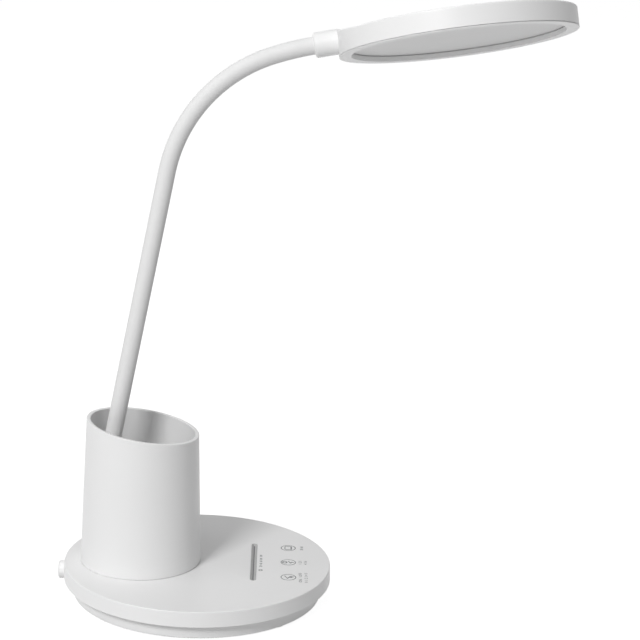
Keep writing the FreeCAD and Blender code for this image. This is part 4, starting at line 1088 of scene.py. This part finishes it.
@dataclass
class Neck:
    """The flexible neck: a silicone sleeve in one length for each pivot."""

    paint: Paintbox
    tube: TubeAlongLine
    foot_x: float = -67.9
    foot_z: float = 33.8
    upright: float = 16.0
    root_radius: float = 330.0
    lean: float = 10.3
    run: float = 196.4
    crook_radius: float = 106.4
    crook: float = 60.3
    nod_radius: float = 212.0
    nod: float = 7.7
    grip: float = 8.0
    radius: float = 6.0
    first_pivot: float = 40.0
    last_pivot: float = 22.0
    pivots: int = 8
    bend_reach: float = 16.0
    sides: int = 64
    curve_steps: int = 14
    fold: float = 60.0  # only the ends' edges turn by more degrees

    def runs(self) -> list[Point]:
        """Give each stretch's length and turn in radians, from the foot to the head."""
        lean, crook, nod = (radians(a) for a in (self.lean, self.crook, self.nod))
        return [(self.upright, 0.0), (self.root_radius * lean, lean), (self.run, 0.0),
                (self.crook_radius * crook, crook), (self.nod_radius * nod, nod),
                (self.grip, 0.0)]

    def length(self) -> float:
        """Give the whole length."""
        return sum(length for length, _ in self.runs())

    def at(self, distance: float) -> tuple[Vector, float]:
        """Find a point of the centre line.

        Args:
            distance: Millimetres from the foot.

        Returns:
            The point and the heading there, in radians from upright.
        """
        x, z, heading, left = self.foot_x, self.foot_z, 0.0, distance
        for length, turn in self.runs():
            along = min(left, length)
            if turn == 0.0:
                x += along * sin(heading)
                z += along * cos(heading)
            else:
                bend = length / turn
                after = heading + along / bend
                x += bend * (cos(heading) - cos(after))
                z += bend * (sin(after) - sin(heading))
                heading = after
            left -= along
            if left <= 0:
                break
        return Vector((x, 0.0, z)), heading

    def joint_distances(self) -> list[float]:
        """Give the pivots' distances from the foot."""
        last = self.length() - self.grip - self.last_pivot
        step = (last - self.first_pivot) / (self.pivots - 1)
        return [self.first_pivot + step * index for index in range(self.pivots)]

    def knots(self, start: float, end: float) -> list[float]:
        """Give the distances where the line's stretches meet between two distances.

        Args:
            start: The first distance.
            end: The last distance.

        Returns:
            These two and what lies between them.
        """
        found, travelled = [start], 0.0
        for length, _ in self.runs():
            travelled += length
            if start + 0.01 < travelled < end - 0.01:
                found.append(travelled)
        return found + [end]

    def line(self, name: str, start: float, end: float) -> Object:
        """Draw part of the centre line as a curve with exact arcs.

        Args:
            name: The curve's name.
            start: Distance of its first point.
            end: Distance of its last point.

        Returns:
            The curve object.
        """
        knots = self.knots(start, end)
        curve = bpy.data.curves.new(name, "CURVE")
        curve.dimensions, curve.resolution_u = "3D", self.curve_steps
        spline = curve.splines.new("BEZIER")
        spline.bezier_points.add(len(knots) - 1)
        for index, (point, knot) in enumerate(zip(spline.bezier_points, knots)):
            place, heading = self.at(knot)
            way = Vector((sin(heading), 0.0, cos(heading)))
            point.handle_left_type = point.handle_right_type = "FREE"
            point.co = place * MM
            for side, sign in (("handle_left", -1), ("handle_right", 1)):
                reach = 1.0
                if 0 <= index + sign < len(knots):
                    gap = abs(knots[index + sign] - knot)
                    turn = abs(self.at(knots[index + sign])[1] - heading)
                    reach = gap / 3 if turn < 1e-6 else gap / turn * 4 / 3 * tan(turn / 4)
                setattr(point, side, (place + way * reach * sign) * MM)
        return linked(name, curve)

    def build(self) -> None:
        """Make the sleeve's lengths, each reaching over one pivot."""
        joints = self.joint_distances()
        middles = [(a + b) / 2 for a, b in zip(joints, joints[1:])]
        values = {"Radius": self.radius * MM, "Sides": self.sides,
                  "Material": self.paint.get(Finish.SILICONE)}
        for index, ends in enumerate(zip([0.0] + middles, middles + [self.length()])):
            piece = self.tube.run(self.line("neck_sleeve_%d" % (index + 1), *ends), values)
            with edited(piece, self.fold) as mesh:
                close_holes(mesh)
                bmesh.ops.recalc_face_normals(mesh, faces=mesh.faces)
            last = index + 2 if index == self.pivots - 1 else index + 1
            nodes = ["neck_section_%d" % number for number in range(index + 1, last + 1)]
            self.paint.dress(piece, Finish.SILICONE, None, *nodes)
            low, high = (tuple(self.at(joints[index] + reach)[0] * MM)
                         for reach in (-self.bend_reach, self.bend_reach))
            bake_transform(piece)


# Head


@dataclass
class Head:
    """The flat round head with its shoulder, its bezel and the sleeve on the neck."""

    paint: Paintbox
    neck: Neck
    roll: float = 12.0
    droop: float = 2.7
    radius: float = 80.6
    thick: float = 14.2
    wall: float = 1.6
    top_wall: float = 2.0
    edge_round: float = 1.2
    shoulder_rise: float = 3.0
    shoulder_reach: float = 50.0
    nose_step: float = 0.5
    nose_fillet: float = 1.4
    rim_width: float = 8.2
    part_line: float = 0.8
    part_gap: float = 0.32
    rim_bevel: float = 0.4
    recess: float = 5.5
    glass_level: float = 4.2
    slot_tall: float = 0.6
    slot_deep: float = 1.4
    bezel_rise: float = 3.5
    bezel_wall: float = 2.3
    rim_round: float = 0.15
    seam_round: float = 0.08
    soft: float = 0.2
    play: float = 0.2
    diffuser_thick: float = 1.2
    nut_across: float = 7.0
    nut_play: float = 0.3
    sleeve_radius: float = 8.6
    sleeve_length: float = 16.8
    sleeve_lap: float = 1.5
    sleeve_bore: float = 6.1
    sleeve_taper: float = 0.5
    sleeve_mouth: tuple[Point, ...] = ((0.7, 0.35), (1.4, 0.6))  # height and rounding
    sleeve_end_round: float = 0.3
    spigot_bore: float = 7.1
    segments: int = 360
    fine_band: float = 14.0  # the rings lie closer near the edge
    steps: int = 22
    edge_steps: int = 8
    fold: float = 32.0

    def sleeve_place(self) -> Matrix:
        """Give the frame with X along the sleeve from its neck end, rolled with the head."""
        point, heading = self.neck.at(self.neck.length() - self.neck.grip)
        return (Matrix.Translation(point) @ Matrix.Rotation(heading - pi / 2, 4, "Y")
                @ Matrix.Rotation(radians(-self.roll), 4, "X"))

    def disc_in_sleeve(self) -> Matrix:
        """Give the disc's frame in the sleeve's: its origin is the rim plane's centre."""
        droop = radians(self.droop)
        corner = self.nut_across / 2 / cos(radians(30))
        drop = (self.recess + self.diffuser_thick + corner + self.nut_play
                + self.radius * sin(droop))
        reach = self.sleeve_length - self.sleeve_lap + self.radius
        return Matrix.Translation((reach, 0, -drop)) @ Matrix.Rotation(droop, 4, "Y")

    def disc_place(self) -> Matrix:
        """Give the disc's frame in the lamp's."""
        return self.sleeve_place() @ self.disc_in_sleeve()

    def along_sleeve(self, start: float) -> Matrix:
        """Give a frame in the disc's, with Z along the sleeve's axis from a distance."""
        return self.disc_in_sleeve().inverted() @ Matrix.Translation((start, 0, 0)) @ TURN_Y

    def build(self) -> None:
        """Make every piece of the head."""
        self.cover()
        self.bezel()
        self.diffuser()
        self.sleeve()

    def swell(self, x: float, y: float) -> float:
        """Give how far the top rises above the flat of the head.

        Args:
            x: Place in the disc's frame.
            y: Place in the disc's frame.

        Returns:
            Millimetres: a low dome about the neck's side with a round nose behind the sleeve.
        """
        share = min(1.0, hypot(x + self.radius, y) / self.shoulder_reach)
        dome = self.shoulder_rise * (1 - share * share) ** 2
        middle = self.along_sleeve(self.sleeve_length).translation
        under = ((self.sleeve_radius - self.nose_step) ** 2
                 - (x - middle.x) ** 2 - (y - middle.y) ** 2)
        if under <= 0:
            return dome
        nose = middle.z + sqrt(under) - self.thick
        blend = max(self.nose_fillet - abs(dome - nose), 0.0) / self.nose_fillet
        return max(dome, nose) + blend * blend * self.nose_fillet / 4

    def shell_rings(self) -> list[list[Vector]]:
        """Lay out the shell's rings from the middle of its top to the middle of its ceiling."""
        inner, ceiling = self.radius - self.wall, self.thick - self.top_wall
        flat, fine = self.radius - self.edge_round, self.radius - self.fine_band
        low, arc = self.part_line, self.edge_steps
        # Each level: distance from the axis, height, and the share of the swelling it takes.
        levels = [(fine * step / self.steps, self.thick, 1.0) for step in range(self.steps)]
        levels += [(fine + (flat - fine) * step / self.steps, self.thick, 1.0)
                   for step in range(self.steps + 1)]
        for turn in (pi / 2 * step / arc for step in range(1, arc + 1)):
            levels.append((flat + self.edge_round * sin(turn),
                           self.thick - self.edge_round * (1 - cos(turn)), 1.0))
        levels += [(self.radius, self.thick - self.edge_round - 0.3, 1.0),
                   (self.radius, self.thick / 2, 0.5)]
        levels += [(distance, height, 0.0) for distance, height in (
            (self.radius, low + 0.5), (self.radius, low + 0.15),
            (self.radius - 0.05, low + 0.04), (self.radius - 0.15, low), (inner + 0.2, low),
            (inner, low + 0.2), (inner, ceiling - 0.5), (inner - 0.15, ceiling - 0.15),
            (inner - 0.5, ceiling), (0.0, ceiling))]
        turns = [tau * step / self.segments for step in range(self.segments)]
        rings = []
        for distance, height, share in levels:
            spots = [(distance * cos(turn), distance * sin(turn)) for turn in turns]
            rings.append([Vector((x, y, height + share * self.swell(x, y))) for x, y in spots])
        return rings

    def cover(self) -> None:
        """Make the upper shell, whose top swells into a shoulder for the neck."""
        seat = rod(self.sleeve_radius + 0.1, -5, self.sleeve_length, SEAT)
        seat = mesh_object("seat_tool", seat, self.along_sleeve(0.0))
        shell = mesh_object("head_shell", loft(self.shell_rings()))
        shell = evenly_shaded(carved(shell, [(seat, Work.CUT)], self.fold))
        shell.data.transform(Matrix.Scale(MM, 4) @ self.disc_place() @ Matrix.Scale(1 / MM, 4))
        self.paint.dress(shell, Finish.SCREEN_ABS, Body.HEAD, "head_top_cover")

    def bezel(self) -> None:
        """Make the ring with the flat rim and the recess wall."""
        outer, inner = self.radius - self.wall - self.play, self.radius - self.rim_width
        wall, slot, glass = outer - self.bezel_wall, inner + self.slot_deep, self.glass_level
        seam, top = self.part_line - self.part_gap, self.recess + self.bezel_rise
        outline = rounded([
            (inner, 0.0, self.rim_bevel), (self.radius, 0.0, self.rim_round),
            (self.radius, seam, self.seam_round), (outer, seam), (outer, top, self.soft),
            (wall, top, self.soft), (wall, glass), (slot, glass),
            (slot, glass - self.slot_tall), (inner, glass - self.slot_tall - self.soft)],
            True, 4)
        ring = mesh_object("bezel_ring", turned(outline, LARGE, True), self.disc_place())
        self.paint.dress(ring, Finish.SCREEN_ABS, Body.HEAD, "head_bezel")

    def diffuser(self) -> None:
        """Make the opal sheet that lies on the bezel's step."""
        edge = self.radius - self.wall - self.play - self.bezel_wall - self.play
        low, high = self.glass_level, self.glass_level + self.diffuser_thick
        outline = rounded([(0, low), (edge, low, self.soft), (edge, high, self.soft),
                           (0, high)], steps=3)
        sheet = mesh_object("diffuser_sheet", turned(outline, SHEET), self.disc_place())
        self.paint.dress(sheet, Finish.OPAL, Body.HEAD, "diffuser")

    def sleeve(self) -> None:
        """Make the sleeve over the end of the neck."""
        outer, bore, grip = self.sleeve_radius, self.sleeve_bore, self.neck.grip + 0.1
        taper, (start, end) = self.sleeve_taper, self.sleeve_mouth
        outline = rounded([
            (bore, 0.15, 0.1), (bore + taper, 0, 0.1), (outer - taper, *start),
            (outer, *end), (outer, self.sleeve_length, self.sleeve_end_round),
            (self.spigot_bore, self.sleeve_length), (self.spigot_bore, grip), (bore, grip)],
            True, 5)
        sleeve = mesh_object("head_sleeve_moulding", turned(outline, TUBE, True),
                             self.sleeve_place() @ TURN_Y)
        self.paint.dress(sleeve, Finish.SCREEN_ABS, Body.HEAD, "head_sleeve")


# Studio


@dataclass(frozen=True)
class Softbox:
    """A square soft lamp that faces the middle of the desk lamp."""

    name: str
    power: float
    side: float
    distance: float
    azimuth: float
    elevation: float
    target: tuple[float, float, float] = (30.0, 0.0, 180.0)

    def hang(self) -> None:
        """Put it into the scene."""
        lamp = bpy.data.lights.new(self.name, "AREA")
        lamp.shape, lamp.size, lamp.energy = "SQUARE", self.side * MM, self.power
        around, above = radians(self.azimuth), radians(self.elevation)
        away = Vector((cos(around) * cos(above), sin(around) * cos(above),
                       sin(above)))
        holder = linked(self.name, lamp)
        holder.location = Vector(self.target) * MM + away * self.distance * MM
        holder.rotation_euler = away.to_track_quat("Z", "Y").to_euler()


@dataclass
class Studio:
    """The floor, the soft lamps, the plain surroundings and the camera."""

    floor_z: float = -1.75
    floor_half: float = 9000.0
    floor_mottle: float = 400.0
    floor_glow: float = 0.9
    key: Softbox = Softbox("front_softbox", 67.0, 950.0, 3500.0, 241.0, 35.0)
    top: Softbox = Softbox("top_softbox", 20.0, 2400.0, 3000.0, 215.0, 72.0)
    ambient: float = 0.22
    camera: tuple[float, float, float] = (46.2, -1186.04, 488.6)
    yaw: float = 1.67
    pitch: float = 13.58
    roll: float = 2.31
    focal: float = 98.65
    sensor: float = 36.0
    sight: float = 50.0  # metres

    def build(self) -> None:
        """Set everything that isn't the lamp."""
        self.floor()
        self.key.hang()
        self.top.hang()
        self.surroundings()
        self.view()

    def show(self, tree: Tree, end: str, lit: Socket, seen: Socket) -> None:
        """End a tree with one shader for light and another for the camera, mirror or glass.

        Args:
            tree: The tree.
            end: The kind of its output node.
            lit: The shader that gives and takes light.
            seen: The shader that is looked at.
        """
        rays = add(tree, "ShaderNodeLightPath").outputs
        mirror = out(tree, "ShaderNodeMath", 0, {".operation": "MAXIMUM"},
                     {0: rays["Is Camera Ray"], 1: rays["Is Glossy Ray"]})
        either = out(tree, "ShaderNodeMath", 0, {".operation": "MAXIMUM"},
                     {0: mirror, 1: rays["Is Transmission Ray"]})
        mix = out(tree, "ShaderNodeMixShader", "Shader", None, {0: either, 1: lit, 2: seen})
        add(tree, end, None, {"Surface": mix})

    def floor(self) -> None:
        """Lay a plain pale floor that keeps the lamp's shadow."""
        mesh = bmesh.new()
        bmesh.ops.create_grid(mesh, x_segments=1, y_segments=1, size=self.floor_half)
        floor = mesh_object("floor", mesh, Matrix.Translation((0, 0, self.floor_z)))
        work = Recipe("painted_floor_pale")
        tone = work.tint("#DEDEDE", "#E2E2E2", work.noise(self.floor_mottle))
        plain = out(work.tree, "ShaderNodeBsdfDiffuse", "BSDF", None, {"Color": tone})
        shadow = out(work.tree, "ShaderNodeBsdfDiffuse", "BSDF", {"Color": linear("#AFAFAF")})
        glow = out(work.tree, "ShaderNodeEmission", "Emission",
                   {"Color": linear("#FFFFFF"), "Strength": self.floor_glow})
        white = out(work.tree, "ShaderNodeAddShader", "Shader", None, {0: shadow, 1: glow})
        self.show(work.tree, "ShaderNodeOutputMaterial", plain, white)
        floor.data.materials.append(work.material)

    def surroundings(self) -> None:
        """Fill the room with plain light, and show it white."""
        world = bpy.data.worlds.new("plain_room")
        world.use_nodes = True
        world.node_tree.nodes.clear()
        fill, white = (out(world.node_tree, "ShaderNodeBackground", "Background",
                           {"Color": linear("#FFFFFF"), "Strength": strength})
                       for strength in (self.ambient, 1.0))
        self.show(world.node_tree, "ShaderNodeOutputWorld", fill, white)
        bpy.context.scene.world = world

    def view(self) -> None:
        """Place the camera."""
        data = bpy.data.cameras.new("camera")
        data.lens, data.sensor_width, data.clip_end = self.focal, self.sensor, self.sight
        yaw, pitch, roll = (radians(a) for a in (self.yaw, self.pitch, self.roll))
        ahead = Vector((sin(yaw) * cos(pitch), cos(yaw) * cos(pitch),
                        -sin(pitch)))
        right = Vector((cos(yaw), -sin(yaw), 0.0))
        up = right.cross(ahead)
        across = cos(roll) * right + sin(roll) * up
        upwards = -sin(roll) * right + cos(roll) * up
        turn = Matrix((across, upwards, -ahead)).transposed().to_4x4()
        holder = linked("camera", data)
        holder.matrix_world = Matrix.Translation(Vector(self.camera) * MM) @ turn
        bpy.context.scene.camera = holder
        bpy.context.scene.view_settings.view_transform = "Standard"


def main() -> None:
    """Build the lamp's pieces in order, then the studio."""
    logging.basicConfig(level=logging.INFO, format="%(name)s: %(message)s")
    paint = Paintbox()
    paint.dress_nodes()
    neck = Neck(paint, TubeAlongLine())
    for part in (Base(paint, RingOfCopies()), PenCup(paint), neck, Head(paint, neck), Studio()):
        part.build()
        LOG.info("%s built", type(part).__name__)
    LOG.info("boxes written")


if __name__ == "__main__":
    main()
